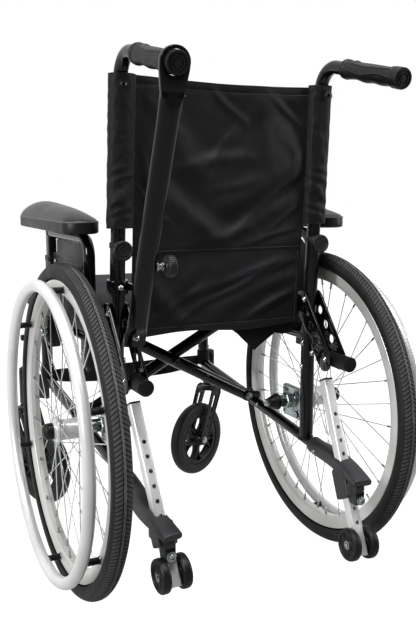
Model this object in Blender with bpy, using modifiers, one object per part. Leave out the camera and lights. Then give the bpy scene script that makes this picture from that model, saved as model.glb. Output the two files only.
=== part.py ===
"""Folding manual wheelchair with push rims, built as separate named pieces.

Frame: +Z up, +X the occupant's left, +Y the rear. Metres.
Coordinates below are written with y = 0 on the rear axle; Y_SHIFT moves the
whole chair so that the origin is under the middle of its bounding box.
"""
import math

import bmesh
import bpy
from mathutils import Matrix, Vector

for old in list(bpy.data.objects):
    bpy.data.objects.remove(old, do_unlink=True)

# ---------------------------------------------------------------- dimensions
Y_SHIFT = 0.0874                       # fore-aft shift of the origin

FRAME_X = 0.200                     # side frames, tube centre lines
UPRIGHT_Y = 0.065                   # rear upright, straight lower part
UPRIGHT_R = 0.0135
UPRIGHT_BORE = 0.0126
UPRIGHT_FOOT_Z = 0.243
UPRIGHT_KNEE_Z = 0.450              # above this the back leans rearwards
UPRIGHT_TOP = (0.0980, 0.915)       # y, z
TOP_X = 0.1963                      # the tops lean in a little
SIDE_TUBE_Z = 0.455
SIDE_TUBE_R = 0.0127
FRONT_Y = -0.420
LOWER_TUBE = ((-0.436, 0.3035), (0.1115, 0.2343))
LOWER_R = 0.011

WHEEL_X = 0.272                     # rear wheel plane
WHEEL_R = 0.305
TYRE_R = 0.0175
PUSH_X = 0.3172
PUSH_R = 0.265
PUSH_TUBE_R = 0.0113
RIM_OUT = 0.2692
RIM_IN = 0.2500
SPOKES = 36

CASTER = (0.240, -0.472)            # swivel axis
TRAIL = 0.050
CASTER_R = 0.093
CASTER_HEADING = {1: 25.0, -1: -64.5}   # degrees about +Z from straight back

PIVOT_X = 0.174                     # lower pivots of the cross arms
PIVOT_Z = 0.285
RAIL_X = 0.190
RAIL_Z = 0.482
RAIL_R = 0.0115
ARM_R = 0.0125
ARM_A_Y = -0.145                    # rear arm: its rail is on the left
ARM_B_Y = -0.175                    # front arm: its rail is on the right
CROSS_Z = PIVOT_Z + PIVOT_X * (RAIL_Z - PIVOT_Z) / (RAIL_X + PIVOT_X)

POST_R = 0.0117
HANDLE_CORNER_Z = 0.9648
GRIP_START = (0.1802, 0.9476)
GRIP_DIR = Vector((0.0, 0.977, -0.213)).normalized()
LEAN = Vector((TOP_X - FRAME_X, UPRIGHT_TOP[0] - UPRIGHT_Y, UPRIGHT_TOP[1] - UPRIGHT_KNEE_Z)).normalized()

ARM_POST_X = 0.2315                 # armrest posts
ARM_POST_Y = -0.236
ARM_TUBE_Y = 0.020
PAD_Z = 0.663

TIP_TOP = Vector((0.196, 0.136, 0.380))
TIP_END = Vector((0.180, 0.285, 0.087))
TIP_SHORTER = {1: 0.020, -1: 0.0}
SHOE_DROP = {1: 0.0300, -1: 0.0}
TIP_HALF = 0.010
KNOB_Z = 0.618

# ---------------------------------------------------------------- collections
PARTS = bpy.data.collections.new("wheelchair")
TOOLS = bpy.data.collections.new("cutters")
bpy.context.scene.collection.children.link(PARTS)
bpy.context.scene.collection.children.link(TOOLS)

LOOKS = {
    "black_paint": ((0.012, 0.012, 0.013), 0.28, 0.0),
    "black_plastic": ((0.020, 0.020, 0.022), 0.50, 0.0),
    "black_rubber": ((0.024, 0.024, 0.025), 0.75, 0.0),
    "tyre_rubber": ((0.050, 0.050, 0.052), 0.80, 0.0),
    "silver": ((0.78, 0.78, 0.77), 0.32, 1.0),
    "chrome": ((0.72, 0.74, 0.74), 0.16, 1.0),
    "back_cloth": ((0.014, 0.014, 0.018), 0.80, 0.0),
    "seat_cloth": ((0.060, 0.057, 0.066), 0.85, 0.0),
    "vinyl": ((0.030, 0.028, 0.028), 0.38, 0.0),
}


def material(node, look):
    colour, rough, metal = LOOKS[look]
    m = bpy.data.materials.new(node + "_" + look)
    m.use_nodes = True
    b = m.node_tree.nodes["Principled BSDF"]
    b.inputs["Base Color"].default_value = (*colour, 1.0)
    b.inputs["Roughness"].default_value = rough
    b.inputs["Metallic"].default_value = metal
    m.diffuse_color = (*colour, 1.0)
    return m


# ---------------------------------------------------------------- shape helpers
def tool(name, mesh):
    ob = bpy.data.objects.new(name, mesh)
    TOOLS.objects.link(ob)
    ob.hide_render = True
    ob.display_type = "WIRE"
    return ob


def from_bmesh(name, bm):
    bmesh.ops.recalc_face_normals(bm, faces=bm.faces)
    me = bpy.data.meshes.new(name)
    bm.to_mesh(me)
    bm.free()
    return tool(name, me)


def along(p0, p1, roll=None):
    """Matrix that puts local Z on p0->p1 with its middle at the origin."""
    p0, p1 = Vector(p0), Vector(p1)
    z = (p1 - p0).normalized()
    side = Vector(roll) if roll else (Vector((1, 0, 0)) if abs(z.x) < 0.9 else Vector((0, 1, 0)))
    x = (side - z * side.dot(z)).normalized()
    y = z.cross(x)
    m = Matrix((x, y, z)).transposed().to_4x4()
    m.translation = (p0 + p1) / 2
    return m


def rod(p0, p1, r, sides=12, r2=None, squash=(1.0, 1.0)):
    bm = bmesh.new()
    length = (Vector(p1) - Vector(p0)).length
    bmesh.ops.create_cone(bm, cap_ends=True, segments=sides, radius1=r,
                          radius2=r if r2 is None else r2, depth=length)
    m = along(p0, p1) @ Matrix.Diagonal((squash[0], squash[1], 1.0, 1.0))
    bmesh.ops.transform(bm, matrix=m, verts=bm.verts)
    return from_bmesh("rod", bm)


def block(centre, size, matrix=None):
    bm = bmesh.new()
    bmesh.ops.create_cube(bm, size=1.0)
    bmesh.ops.transform(bm, matrix=Matrix.Diagonal((*size, 1.0)), verts=bm.verts)
    m = matrix if matrix is not None else Matrix.Translation(Vector(centre))
    bmesh.ops.transform(bm, matrix=m, verts=bm.verts)
    return from_bmesh("block", bm)


def baked(ob, name="shape"):
    """The evaluated mesh of an object, in world space, as a new tool object."""
    bpy.context.view_layer.update()
    dg = bpy.context.evaluated_depsgraph_get()
    me = bpy.data.meshes.new_from_object(ob.evaluated_get(dg))
    me.transform(ob.matrix_world)
    bm = bmesh.new()
    bm.from_mesh(me)
    bmesh.ops.remove_doubles(bm, verts=bm.verts, dist=0.00001)
    bm.to_mesh(me)
    bm.free()
    bpy.data.objects.remove(ob, do_unlink=True)
    return tool(name, me)


def outward(ob):
    bm = bmesh.new()
    bm.from_mesh(ob.data)
    bmesh.ops.recalc_face_normals(bm, faces=bm.faces)
    bm.to_mesh(ob.data)
    bm.free()
    return ob


def fillet(points, radius, steps=4):
    """A poly line whose inner corners are rounded arcs."""
    pts = [Vector(p) for p in points]
    out = [pts[0]]
    for a, b, c in zip(pts, pts[1:], pts[2:]):
        u, v = (a - b).normalized(), (c - b).normalized()
        half = u.angle(v) / 2
        cut = radius / math.tan(half)
        centre = b + (u + v).normalized() * (radius / math.sin(half))
        s, e = (b + u * cut - centre).normalized(), (b + v * cut - centre).normalized()
        for i in range(steps + 1):
            out.append(centre + s.slerp(e, i / steps) * radius)
    out.append(pts[-1])
    return out


def pipe(points, r, res=3):
    cu = bpy.data.curves.new("pipe", "CURVE")
    cu.dimensions = "3D"
    cu.bevel_depth = r
    cu.bevel_resolution = res
    cu.use_fill_caps = True
    cu.twist_mode = "MINIMUM"
    sp = cu.splines.new("POLY")
    sp.points.add(len(points) - 1)
    for q, p in zip(sp.points, points):
        q.co = (*p, 1.0)
    ob = bpy.data.objects.new("pipe", cu)
    TOOLS.objects.link(ob)
    return outward(baked(ob, "pipe"))


def plate(outline, holes, thick, matrix):
    """A flat plate from 2D loops; local XY is the plate, local Z its thickness."""
    cu = bpy.data.curves.new("plate", "CURVE")
    cu.dimensions = "2D"
    cu.fill_mode = "BOTH"
    cu.extrude = thick / 2
    for loop in [outline] + list(holes):
        sp = cu.splines.new("POLY")
        sp.points.add(len(loop) - 1)
        for q, p in zip(sp.points, loop):
            q.co = (p[0], p[1], 0.0, 1.0)
        sp.use_cyclic_u = True
    ob = bpy.data.objects.new("plate", cu)
    TOOLS.objects.link(ob)
    ob.matrix_world = matrix
    return outward(baked(ob, "plate"))


def arc(cx, cy, r, a0, a1, n):
    return [(cx + r * math.cos(math.radians(a0 + (a1 - a0) * i / n)),
             cy + r * math.sin(math.radians(a0 + (a1 - a0) * i / n))) for i in range(n + 1)]


def circle(cx, cy, r, n=10, turn=0.0):
    return [(cx + r * math.cos(turn + 2 * math.pi * i / n),
             cy + r * math.sin(turn + 2 * math.pi * i / n)) for i in range(n)]


def stadium(p, q, rp, rq, n=6):
    """Outline round two circles (centres p and q, radii rp and rq)."""
    p, q = Vector(p), Vector(q)
    d = q - p
    turn = math.degrees(math.atan2(d.y, d.x))
    lean = math.degrees(math.asin((rp - rq) / d.length))
    return (arc(p.x, p.y, rp, turn + 90 - lean, turn + 270 + lean, n)
            + arc(q.x, q.y, rq, turn - 90 + lean, turn + 90 - lean, n))


def lathe(profile, start, direction, steps=16, closed=False, roll=None, turn=0.0):
    """Turned shape. The profile holds (radius, distance along the axis)."""
    me = bpy.data.meshes.new("profile")
    n = len(profile)
    edges = [(i, i + 1) for i in range(n - 1)] + ([(n - 1, 0)] if closed else [])
    me.from_pydata([(r, 0.0, h) for r, h in profile], edges, [])
    ob = bpy.data.objects.new("turned", me)
    TOOLS.objects.link(ob)
    mod = ob.modifiers.new("turn", "SCREW")
    mod.axis = "Z"
    mod.angle = 2 * math.pi
    mod.steps = mod.render_steps = steps
    mod.use_merge_vertices = True
    mod.merge_threshold = 0.00001
    start, direction = Vector(start), Vector(direction).normalized()
    m = along(start, start + direction, roll)
    m.translation = start
    ob.matrix_world = m @ Matrix.Rotation(math.radians(turn), 4, "Z")
    return outward(baked(ob, "turned"))


def ring(centre, axis, major, minor, steps=48, sides=8, turn=0.0):
    bpy.ops.mesh.primitive_torus_add(major_segments=steps, minor_segments=sides,
                                     major_radius=major, minor_radius=minor)
    ob = bpy.context.object
    for c in list(ob.users_collection):
        c.objects.unlink(ob)
    TOOLS.objects.link(ob)
    centre, axis = Vector(centre), Vector(axis).normalized()
    m = along(centre, centre + axis)
    m.translation = centre
    ob.matrix_world = m @ Matrix.Rotation(math.radians(turn), 4, "Z")
    return outward(baked(ob, "ring"))


def boolean(base, others, operation):
    for i, other in enumerate(others):
        mod = base.modifiers.new("join%d" % i, "BOOLEAN")
        mod.operation = operation
        mod.solver = "EXACT"
        mod.object = other
    out = baked(base, "joined")
    for other in others:
        bpy.data.objects.remove(other, do_unlink=True)
    return out


def union(base, *others):
    return boolean(base, list(others), "UNION")


def cut(base, *others):
    return boolean(base, list(others), "DIFFERENCE")


def merged(obs):
    """Several shapes that don't touch, as one cutter or one operand."""
    bm = bmesh.new()
    for ob in obs:
        bm.from_mesh(ob.data)
        bpy.data.objects.remove(ob, do_unlink=True)
    me = bpy.data.meshes.new("several")
    bm.to_mesh(me)
    bm.free()
    return tool("several", me)


def node(name, ob, look, origin, smooth=35.0):
    """Make a finished piece: named, with its material and its own origin."""
    origin = Vector(origin)
    me = ob.data
    me.transform(Matrix.Translation(-origin))
    out = bpy.data.objects.new(name, me)
    me.name = name
    PARTS.objects.link(out)
    bpy.data.objects.remove(ob, do_unlink=True)
    out.location = origin + Vector((0.0, Y_SHIFT, 0.0))
    me.materials.clear()
    me.materials.append(material(name, look))
    me.shade_smooth()
    me.set_sharp_from_angle(angle=math.radians(smooth))
    return out


def upright_y(z):
    return UPRIGHT_Y + (z - UPRIGHT_KNEE_Z) * LEAN.y / LEAN.z if z > UPRIGHT_KNEE_Z else UPRIGHT_Y


def upright(s, z):
    """Point on the centre line of an upright."""
    if z <= UPRIGHT_KNEE_Z:
        return Vector((s * FRAME_X, UPRIGHT_Y, z))
    t = (z - UPRIGHT_KNEE_Z) / LEAN.z
    return Vector((s * (FRAME_X + LEAN.x * t), UPRIGHT_Y + LEAN.y * t, z))


def lean(s):
    return Vector((s * LEAN.x, LEAN.y, LEAN.z))


def lower_z(y):
    (y0, z0), (y1, z1) = LOWER_TUBE
    return z0 + (y - y0) * (z1 - z0) / (y1 - y0)


# ---------------------------------------------------------------- side frames
def side_frame(s, side):
    x = s * FRAME_X
    up = pipe([(x, UPRIGHT_Y, UPRIGHT_FOOT_Z), (x, UPRIGHT_Y, UPRIGHT_KNEE_Z),
               upright(s, UPRIGHT_TOP[1])], UPRIGHT_R, 4)
    side_tube = pipe(fillet([(x, UPRIGHT_Y, SIDE_TUBE_Z), (x, FRONT_Y, SIDE_TUBE_Z),
                             (x, FRONT_Y, 0.296)], 0.045, 4), SIDE_TUBE_R, 3)
    lower = pipe([(x, *LOWER_TUBE[0]), (x, *LOWER_TUBE[1])], LOWER_R, 3)
    cx, cy = s * CASTER[0], CASTER[1]
    housing = lathe([(0.0, 0.0), (0.0150, 0.0), (0.0155, 0.004), (0.0155, 0.084), (0.0120, 0.0885), (0.0, 0.090)],
                    (cx, cy, 0.232), (0, 0, 1), 14)
    d = Vector((cx - x, cy - FRONT_Y, 0.0))
    m = Matrix.Translation(Vector(((cx + x) / 2, (cy + FRONT_Y) / 2, 0.280))) @ \
        Matrix.Rotation(math.atan2(d.y, d.x), 4, "Z")
    bracket = block(None, (d.length, 0.010, 0.056), m)
    pin = rod((x + d.x * 0.62, FRONT_Y + d.y * 0.62, 0.300), (x + d.x * 0.62, FRONT_Y + d.y * 0.62, 0.340), 0.0072, 10)
    front_socket = block((s * 0.2275, ARM_POST_Y, 0.450), (0.039, 0.044, 0.050))
    rear_socket = block((s * 0.2275, ARM_TUBE_Y, 0.450), (0.039, 0.034, 0.050))
    rests = merged([block((s * 0.1905, y, 0.4630), (0.016, 0.030, 0.014)) for y in (-0.300, -0.040)])
    arm_y = ARM_B_Y if s > 0 else ARM_A_Y
    lugs = merged([block((s * 0.1805, arm_y + k * 0.0155, PIVOT_Z), (0.029, 0.0040, 0.020)) for k in (-1, 1)])
    pivot = rod((s * PIVOT_X, arm_y - 0.0165, PIVOT_Z), (s * PIVOT_X, arm_y + 0.0165, PIVOT_Z), 0.0045, 10)
    frame = union(up, side_tube, lower, bracket, housing, pin, front_socket, rear_socket, rests, lugs, pivot)
    bore = rod(upright(s, 0.500), upright(s, 0.960), UPRIGHT_BORE, 12)
    front_hole = block((s * ARM_POST_X, ARM_POST_Y, 0.450), (0.0224, 0.0314, 0.08))
    rear_hole = rod((s * ARM_POST_X, ARM_TUBE_Y, 0.41), (s * ARM_POST_X, ARM_TUBE_Y, 0.49), 0.0116, 12)
    frame = cut(frame, bore, front_hole, rear_hole)
    node(side + "_side_frame", frame, "black_paint", (x, UPRIGHT_Y, SIDE_TUBE_Z))


def axle_mount(s, side):
    mount = block((s * 0.200, 0.0145, 0.305), (0.007, 0.0730, 0.066))
    sleeve = rod((s * 0.1700, 0, 0.305), (s * 0.2440, 0, 0.305), 0.0125, 12)
    axle = rod((s * 0.2400, 0, 0.305), (s * (WHEEL_X + 0.028), 0, 0.305), 0.0066, 10)
    cone = lathe([(0.0, 0.0), (0.0080, 0.0), (0.0080, 0.008), (0.0165, 0.024), (0.0165, 0.031), (0.0, 0.031)],
                 (s * 0.1420, 0, 0.305), (s, 0, 0), 12)
    bolts = merged([rod((s * 0.1890, 0.038, z), (s * 0.2110, 0.038, z), 0.0070, 6) for z in (0.284, 0.326)])
    node(side + "_axle_mount", union(mount, sleeve, axle, cone, bolts), "chrome", (s * 0.2, 0, 0.305))


def rear_bracket(s, side):
    top, end = (0.068, 0.522), (0.150, 0.420)
    outline = stadium(top, end, 0.0215, 0.0215, 6)
    spots = [(top[0] + (end[0] - top[0]) * t, top[1] + (end[1] - top[1]) * t) for t in (0.14, 0.48)]
    holes = [circle(y, z, 0.0105, 10) for y, z in spots]
    flat = Matrix(((0, 0, 1, 0), (1, 0, 0, 0), (0, 1, 0, 0), (0, 0, 0, 1)))
    plates = [plate(outline, holes, 0.004, Matrix.Translation(Vector((s * px, 0, 0))) @ flat) for px in (0.1826, 0.2165)]
    bar = rod((s * 0.1825, 0.138, 0.424), (s * 0.2175, 0.138, 0.424), 0.0085, 10)
    stub = rod((s * 0.2, 0.138, 0.421), (s * 0.2, 0.1520, 0.421), 0.0100, 10)
    node(side + "_rear_bracket", union(plates[0], bar, stub, plates[1]), "black_paint", (s * 0.2, 0.11, 0.47))
    cap = lathe([(0.0, 0.0), (0.0136, 0.0), (0.0140, 0.0520), (0.0125, 0.0568), (0.0, 0.0568)],
                (s * 0.2, 0.1524, 0.421), (0, 1, 0), 12)
    node(side + "_tip_lever_cap", cap, "black_rubber", (s * 0.2, 0.18, 0.421))


# ---------------------------------------------------------------- push handles
def push_handle(s, side):
    corner = upright(s, HANDLE_CORNER_Z)
    x = corner.x
    end = Vector((x, *GRIP_START)) + GRIP_DIR * 0.145
    path = fillet([upright(s, 0.525), corner, end], 0.042, 7)
    node(side + "_handle_post", pipe(path, POST_R, 4), "black_paint", upright(s, UPRIGHT_TOP[1]))
    profile = [(0.0, 0.1485), (0.0125, 0.1485), (0.0125, 0.0), (0.0176, 0.0), (0.0176, 0.008),
               (0.0168, 0.012), (0.0168, 0.146), (0.0178, 0.1485), (0.0178, 0.158), (0.0, 0.158)]
    grip = lathe(profile, (x, *GRIP_START), GRIP_DIR, 14)
    node(side + "_grip", grip, "black_rubber", (x, *GRIP_START))
    ky = upright_y(0.636) + UPRIGHT_R + 0.0018
    kx = upright(s, 0.636).x
    knob = lathe([(0.0, 0.0), (0.0070, 0.0), (0.0075, 0.0030), (0.0175, 0.0045), (0.0175, 0.0150), (0.0, 0.0150)],
                 (kx, ky, 0.636), (0, 1, 0), 16)
    node(side + "_height_knob", knob, "black_plastic", (kx, ky, 0.636))
    screw_dir = Vector((s * 0.087, 0.996, 0.0))
    at = upright(s, 0.908) + screw_dir * 0.0215
    screw = lathe([(0.0, 0.0), (0.0095, 0.0), (0.0095, 0.0015), (0.0070, 0.0020), (0.0, 0.0045)], at, screw_dir, 12)
    node(side + "_back_screw", screw, "chrome", at)


# ---------------------------------------------------------------- rear wheels
def rear_wheel(s, side):
    c = Vector((s * WHEEL_X, 0, WHEEL_R))
    ax = Vector((s, 0, 0))
    node(side + "_tyre", ring(c, ax, WHEEL_R / math.cos(math.pi / 40) - TYRE_R, TYRE_R, 40, 6, 4.5), "tyre_rubber", c)
    rim = lathe([(RIM_OUT, -0.0118), (RIM_OUT, 0.0118), (RIM_IN, 0.0070), (RIM_IN, -0.0070)], c, ax, 40, closed=True,
                turn=4.5)
    node(side + "_rim", rim, "silver", c)
    hub = lathe([(0.0, 0.0300), (0.0078, 0.0300), (0.0078, -0.0265), (0.0250, -0.0245), (0.0250, -0.0205),
                 (0.0190, -0.0200), (0.0190, 0.0200), (0.0250, 0.0205), (0.0250, 0.0245), (0.0155, 0.0255),
                 (0.0150, 0.0450), (0.0, 0.0490)], c, ax, 12)
    spokes = []
    for k in range(SPOKES):
        flange = 1 if k % 2 else -1
        lead = 1 if (k // 2) % 2 else -1
        rim_a = 2 * math.pi * k / SPOKES
        hub_a = rim_a + lead * math.radians(64)
        off_hub = flange * 0.0225 + lead * 0.0012
        a = c + Vector((s * off_hub, 0.0225 * math.cos(hub_a), 0.0225 * math.sin(hub_a)))
        b = c + Vector((s * (flange * 0.003 + lead * 0.0022), (RIM_IN - 0.0012) * math.cos(rim_a),
                        (RIM_IN - 0.0012) * math.sin(rim_a)))
        spokes.append(rod(a, b, 0.0010, 4))
    node(side + "_hub_and_spokes", union(hub, merged(spokes)), "chrome", c)
    hoop = ring(Vector((s * PUSH_X, 0, WHEEL_R)), ax, PUSH_R, PUSH_TUBE_R, 40, 6)
    stays = []
    for k in range(6):
        a = math.radians(60 * k + 22)
        p = Vector((0, 0.2635 * math.cos(a), WHEEL_R + 0.2635 * math.sin(a)))
        stays.append(rod(p + Vector((s * (WHEEL_X + 0.0123), 0, 0)), p + Vector((s * (PUSH_X - 0.002), 0, 0)), 0.0058, 6))
    node(side + "_push_rim", union(hoop, merged(stays)), "silver", c)


# ---------------------------------------------------------------- casters
def caster(s, side):
    kx, ky = s * CASTER[0], CASTER[1]
    turn = Matrix.Translation(Vector((kx, ky, 0))) @ Matrix.Rotation(math.radians(CASTER_HEADING[s]), 4, "Z")

    def w(x, y, z):
        return turn @ Vector((x, y, z))

    crown = lathe([(0.0, 0.0), (0.0290, 0.0), (0.0290, 0.006), (0.0150, 0.0145), (0.0, 0.0145)], w(0, 0, 0.2168), (0, 0, 1), 12)
    outline = stadium((0.0, 0.216), (TRAIL, CASTER_R), 0.0170, 0.0135, 6)
    u = Vector((TRAIL, CASTER_R - 0.216))
    slot = stadium((u.x * 0.14, 0.216 + u.y * 0.14), (u.x * 0.40, 0.216 + u.y * 0.40), 0.0040, 0.0035, 4)
    spare = circle(u.x * 0.56, 0.216 + u.y * 0.56, 0.0030, 6)
    flat = Matrix(((0, 0, 1, 0), (1, 0, 0, 0), (0, 1, 0, 0), (0, 0, 0, 1)))
    cheeks = [plate(outline, [slot, spare], 0.0040, turn @ Matrix.Translation(Vector((px, 0, 0))) @ flat)
              for px in (-0.0250, 0.0250)]
    bolt = rod(w(-0.0300, TRAIL, CASTER_R), w(0.0300, TRAIL, CASTER_R), 0.0045, 8)
    heads = merged([rod(w(k * 0.0265, TRAIL, CASTER_R), w(k * 0.0310, TRAIL, CASTER_R), 0.0068, 8) for k in (-1, 1)])
    cheeks = [cut(cheeks[0], block(None, (0.01, 0.10, 0.03), turn @ Matrix.Translation(Vector((-0.025, 0, 0.2376))))),
              cut(cheeks[1], block(None, (0.01, 0.10, 0.03), turn @ Matrix.Translation(Vector((0.025, 0, 0.2376)))))]
    fork = union(crown, cheeks[0], cheeks[1], bolt, heads)
    node(side + "_caster_fork", fork, "black_plastic", (kx, ky, 0.20))
    c, ax = w(0, TRAIL, CASTER_R), turn.to_3x3() @ Vector((1, 0, 0))
    tread = CASTER_R / math.cos(math.pi / 24)
    tyre = lathe([(0.0865, -0.0140), (tread, -0.0050), (tread, 0.0050), (0.0865, 0.0140),
                  (0.0670, 0.0130), (0.0670, -0.0130)], c, ax, 24, closed=True, roll=(0, 0, 1), turn=7.5)
    node(side + "_caster_tyre", tyre, "black_rubber", c)
    rim = lathe([(0.0664, -0.0110), (0.0664, 0.0110), (0.0575, 0.0110), (0.0575, -0.0110)],
                c, ax, 24, closed=True, roll=(0, 0, 1), turn=7.5)
    hub = lathe([(0.0056, -0.0200), (0.0170, -0.0200), (0.0180, 0.0), (0.0170, 0.0200), (0.0056, 0.0200)],
                c, ax, 10, closed=True)
    fans = []
    for k in range(5):
        a = math.radians(72 * k + 40)
        m = Matrix.Translation(c) @ turn.to_3x3().to_4x4() @ Matrix.Rotation(a, 4, "X") @ \
            Matrix.Translation(Vector((0, 0, 0.0370)))
        fans.append(block(None, (0.0150, 0.0140, 0.0450), m))
    wheel = union(rim, hub, *fans)
    node(side + "_caster_wheel", wheel, "black_plastic", c)


# ---------------------------------------------------------------- armrests
def armrest(s, side):
    x = s * ARM_POST_X
    tube = pipe(fillet([(x, ARM_TUBE_Y, 0.415), (x, ARM_TUBE_Y, 0.6515), (x, ARM_POST_Y, 0.6515)], 0.032, 5), 0.0105, 3)
    outer = block((x, ARM_POST_Y, 0.5075), (0.0210, 0.0300, 0.1850))
    inner = block((x, ARM_POST_Y, 0.6290), (0.0170, 0.0250, 0.0670))
    node(side + "_armrest_frame", union(tube, outer, inner), "black_paint", (x, ARM_POST_Y, 0.60))
    loop = [(-0.2205, 0.479), (0.0085, 0.479), (0.0085, 0.6100), (-0.0060, 0.6300), (-0.0300, 0.6404),
            (-0.1880, 0.6404), (-0.1880, 0.6120), (-0.2205, 0.6120)]
    flat = Matrix(((0, 0, 1, 0), (1, 0, 0, 0), (0, 1, 0, 0), (0, 0, 0, 1)))
    panel = plate(loop, [], 0.003, Matrix.Translation(Vector((x, 0, 0))) @ flat)
    node(side + "_side_panel", panel, "black_plastic", (x, -0.1, 0.56))
    hx, y0, y1, r = 0.0325, -0.290, 0.070, 0.028
    corners = [(hx - r, y1 - r, 0), (-hx + r, y1 - r, 90), (-hx + r, y0 + r, 180), (hx - r, y0 + r, 270)]
    loop = []
    for cx, cy, a in corners:
        loop += arc(cx, cy, r, a, a + 90, 3)
    pad = plate(loop, [], 0.052, Matrix.Translation(Vector((s * 0.2540, 0, PAD_Z + 0.0260))))
    bev = pad.modifiers.new("round", "BEVEL")
    bev.width = 0.012
    bev.segments = 2
    bev.limit_method = "ANGLE"
    bev.angle_limit = math.radians(60)
    node(side + "_armrest_pad", outward(baked(pad)), "vinyl", (s * 0.254, -0.11, PAD_Z))


# ---------------------------------------------------------------- anti-tippers
def anti_tip(s, side):
    m3 = Vector((s, 1, 1))
    top, end = TIP_TOP * m3, TIP_END * m3
    axis = (end - top).normalized()
    end = end - axis * TIP_SHORTER[s]
    place = along(end, top, (s, 0, 0))
    tube = block(None, (2 * TIP_HALF, 2 * TIP_HALF, (top - end).length), place)
    side_dir = place.to_3x3() @ Vector((1, 0, 0))
    back_dir = place.to_3x3() @ Vector((0, 1, 0))
    drills = []
    for k in range(8):
        p = top + axis * (0.071 + 0.025 * k)
        drills.append(rod(p - back_dir * 0.02, p + back_dir * 0.02, 0.0032, 6))
    hub = end - axis * 0.0220
    drills.append(rod(hub - side_dir * 0.02, hub + side_dir * 0.02, 0.0046, 8))
    tube = cut(tube, merged(drills))
    node(side + "_anti_tip_tube", tube, "silver", top)
    wheels = lathe([(0.0, -0.0275), (0.0270, -0.0262), (0.0290, -0.0230), (0.0290, -0.0140), (0.0255, -0.0108),
                    (0.0036, -0.0108), (0.0036, 0.0108), (0.0255, 0.0108), (0.0290, 0.0140), (0.0290, 0.0230),
                    (0.0270, 0.0262), (0.0, 0.0275)], hub, side_dir, 16)
    node(side + "_anti_tip_wheels", wheels, "black_rubber", hub)
    # shoe: sleeve on the lower tube, pedal pad, clamp round the drilled tube
    y0, z0 = LOWER_TUBE[1]
    sleeve = rod((s * 0.2, 0.0930, lower_z(0.0930)), (s * 0.2, 0.1420, lower_z(0.1420)), 0.0162, 12)
    drop = SHOE_DROP[s]
    neck = rod((s * 0.2, 0.1250, lower_z(0.1250)), (s * 0.1900, 0.2050, 0.2240 - drop), 0.0150, 10)
    p0, p1 = Vector((s * 0.1950, 0.140, 0.2455 - drop)), Vector((s * 0.1840, 0.277, 0.2225 - drop))
    pm = along(p0, p1, (s, 0, 0))
    pad = block(None, (0.0330, 0.0110, (p1 - p0).length), pm)
    tall = 0.0560 - 0.533 * drop
    clamp = block(None, (0.0310, 0.0400, tall),
                  Matrix.Translation(top + axis * (0.198 + 0.857 * drop)) @ place.to_3x3().to_4x4())
    rib = block((s * 0.1855, 0.2350, 0.2030 - drop), (0.0190, 0.0500, 0.0340))
    bolt = rod((s * 0.1850, 0.2500, 0.1860 - drop), (s * 0.1850, 0.2790, 0.1860 - drop), 0.0062, 10)
    shoe = union(sleeve, neck, pad, clamp, rib, bolt)
    hole = block(None, (2 * TIP_HALF + 0.001, 2 * TIP_HALF + 0.001, 0.60), place)
    bore = rod((s * 0.2, 0.0800, lower_z(0.0800)), (s * 0.2, 0.1122, lower_z(0.1122)), LOWER_R + 0.0006, 12)
    shoe = cut(shoe, hole, bore)
    node(side + "_anti_tip_shoe", shoe, "black_plastic", (s * 0.2, y0, z0))


# ---------------------------------------------------------------- wheel locks
def wheel_lock(s, side):
    base = block((s * 0.2194, -0.3090, 0.4550), (0.0120, 0.0500, 0.0400))
    boss = rod((s * 0.2250, -0.3050, 0.4620), (s * 0.2268, -0.3050, 0.4620), 0.0100, 10)
    node(side + "_brake_base", union(base, boss), "black_paint", (s * 0.2194, -0.309, 0.455))
    flat = Matrix(((0, 0, 1, 0), (1, 0, 0, 0), (0, 1, 0, 0), (0, 0, 0, 1)))
    arm = plate(stadium((-0.3050, 0.4650), (-0.2980, 0.4250), 0.0110, 0.0090, 5), [], 0.005,
                Matrix.Translation(Vector((s * 0.2298, 0, 0))) @ flat)
    shoe = rod((s * 0.2298, -0.2980, 0.4250), (s * 0.2860, -0.2980, 0.4250), 0.0060, 10)
    hand = rod((s * 0.2345, -0.3030, 0.4650), (s * 0.2360, -0.4150, 0.4880), 0.0062, 8)
    knob = rod((s * 0.2356, -0.3900, 0.4828), (s * 0.2368, -0.4400, 0.4932), 0.0095, 10, 0.0105)
    node(side + "_brake_lever", union(arm, shoe, hand, knob), "black_paint", (s * 0.2298, -0.3050, 0.4650))


# ---------------------------------------------------------------- folding cross
def cross_arm(name, s, y):
    """Arm whose rail is on side s; its lower end is on the other side."""
    low, high = Vector((-s * PIVOT_X, y, PIVOT_Z)), Vector((s * RAIL_X, y, RAIL_Z))
    beam = rod(low, high, ARM_R, 10)
    eye = rod(low - Vector((0, 0.0125, 0)), low + Vector((0, 0.0125, 0)), 0.0120, 12)
    rail = rod((s * RAIL_X, -0.460, RAIL_Z), (s * RAIL_X, 0.035, RAIL_Z), RAIL_R, 12)
    arm = union(beam, eye, rail)
    hole = rod(low - Vector((0, 0.02, 0)), low + Vector((0, 0.02, 0)), 0.0056, 10)
    mid = rod((0, y - 0.02, CROSS_Z), (0, y + 0.02, CROSS_Z), 0.0056, 10)
    node(name, cut(arm, hole, mid), "black_paint", low)


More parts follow.
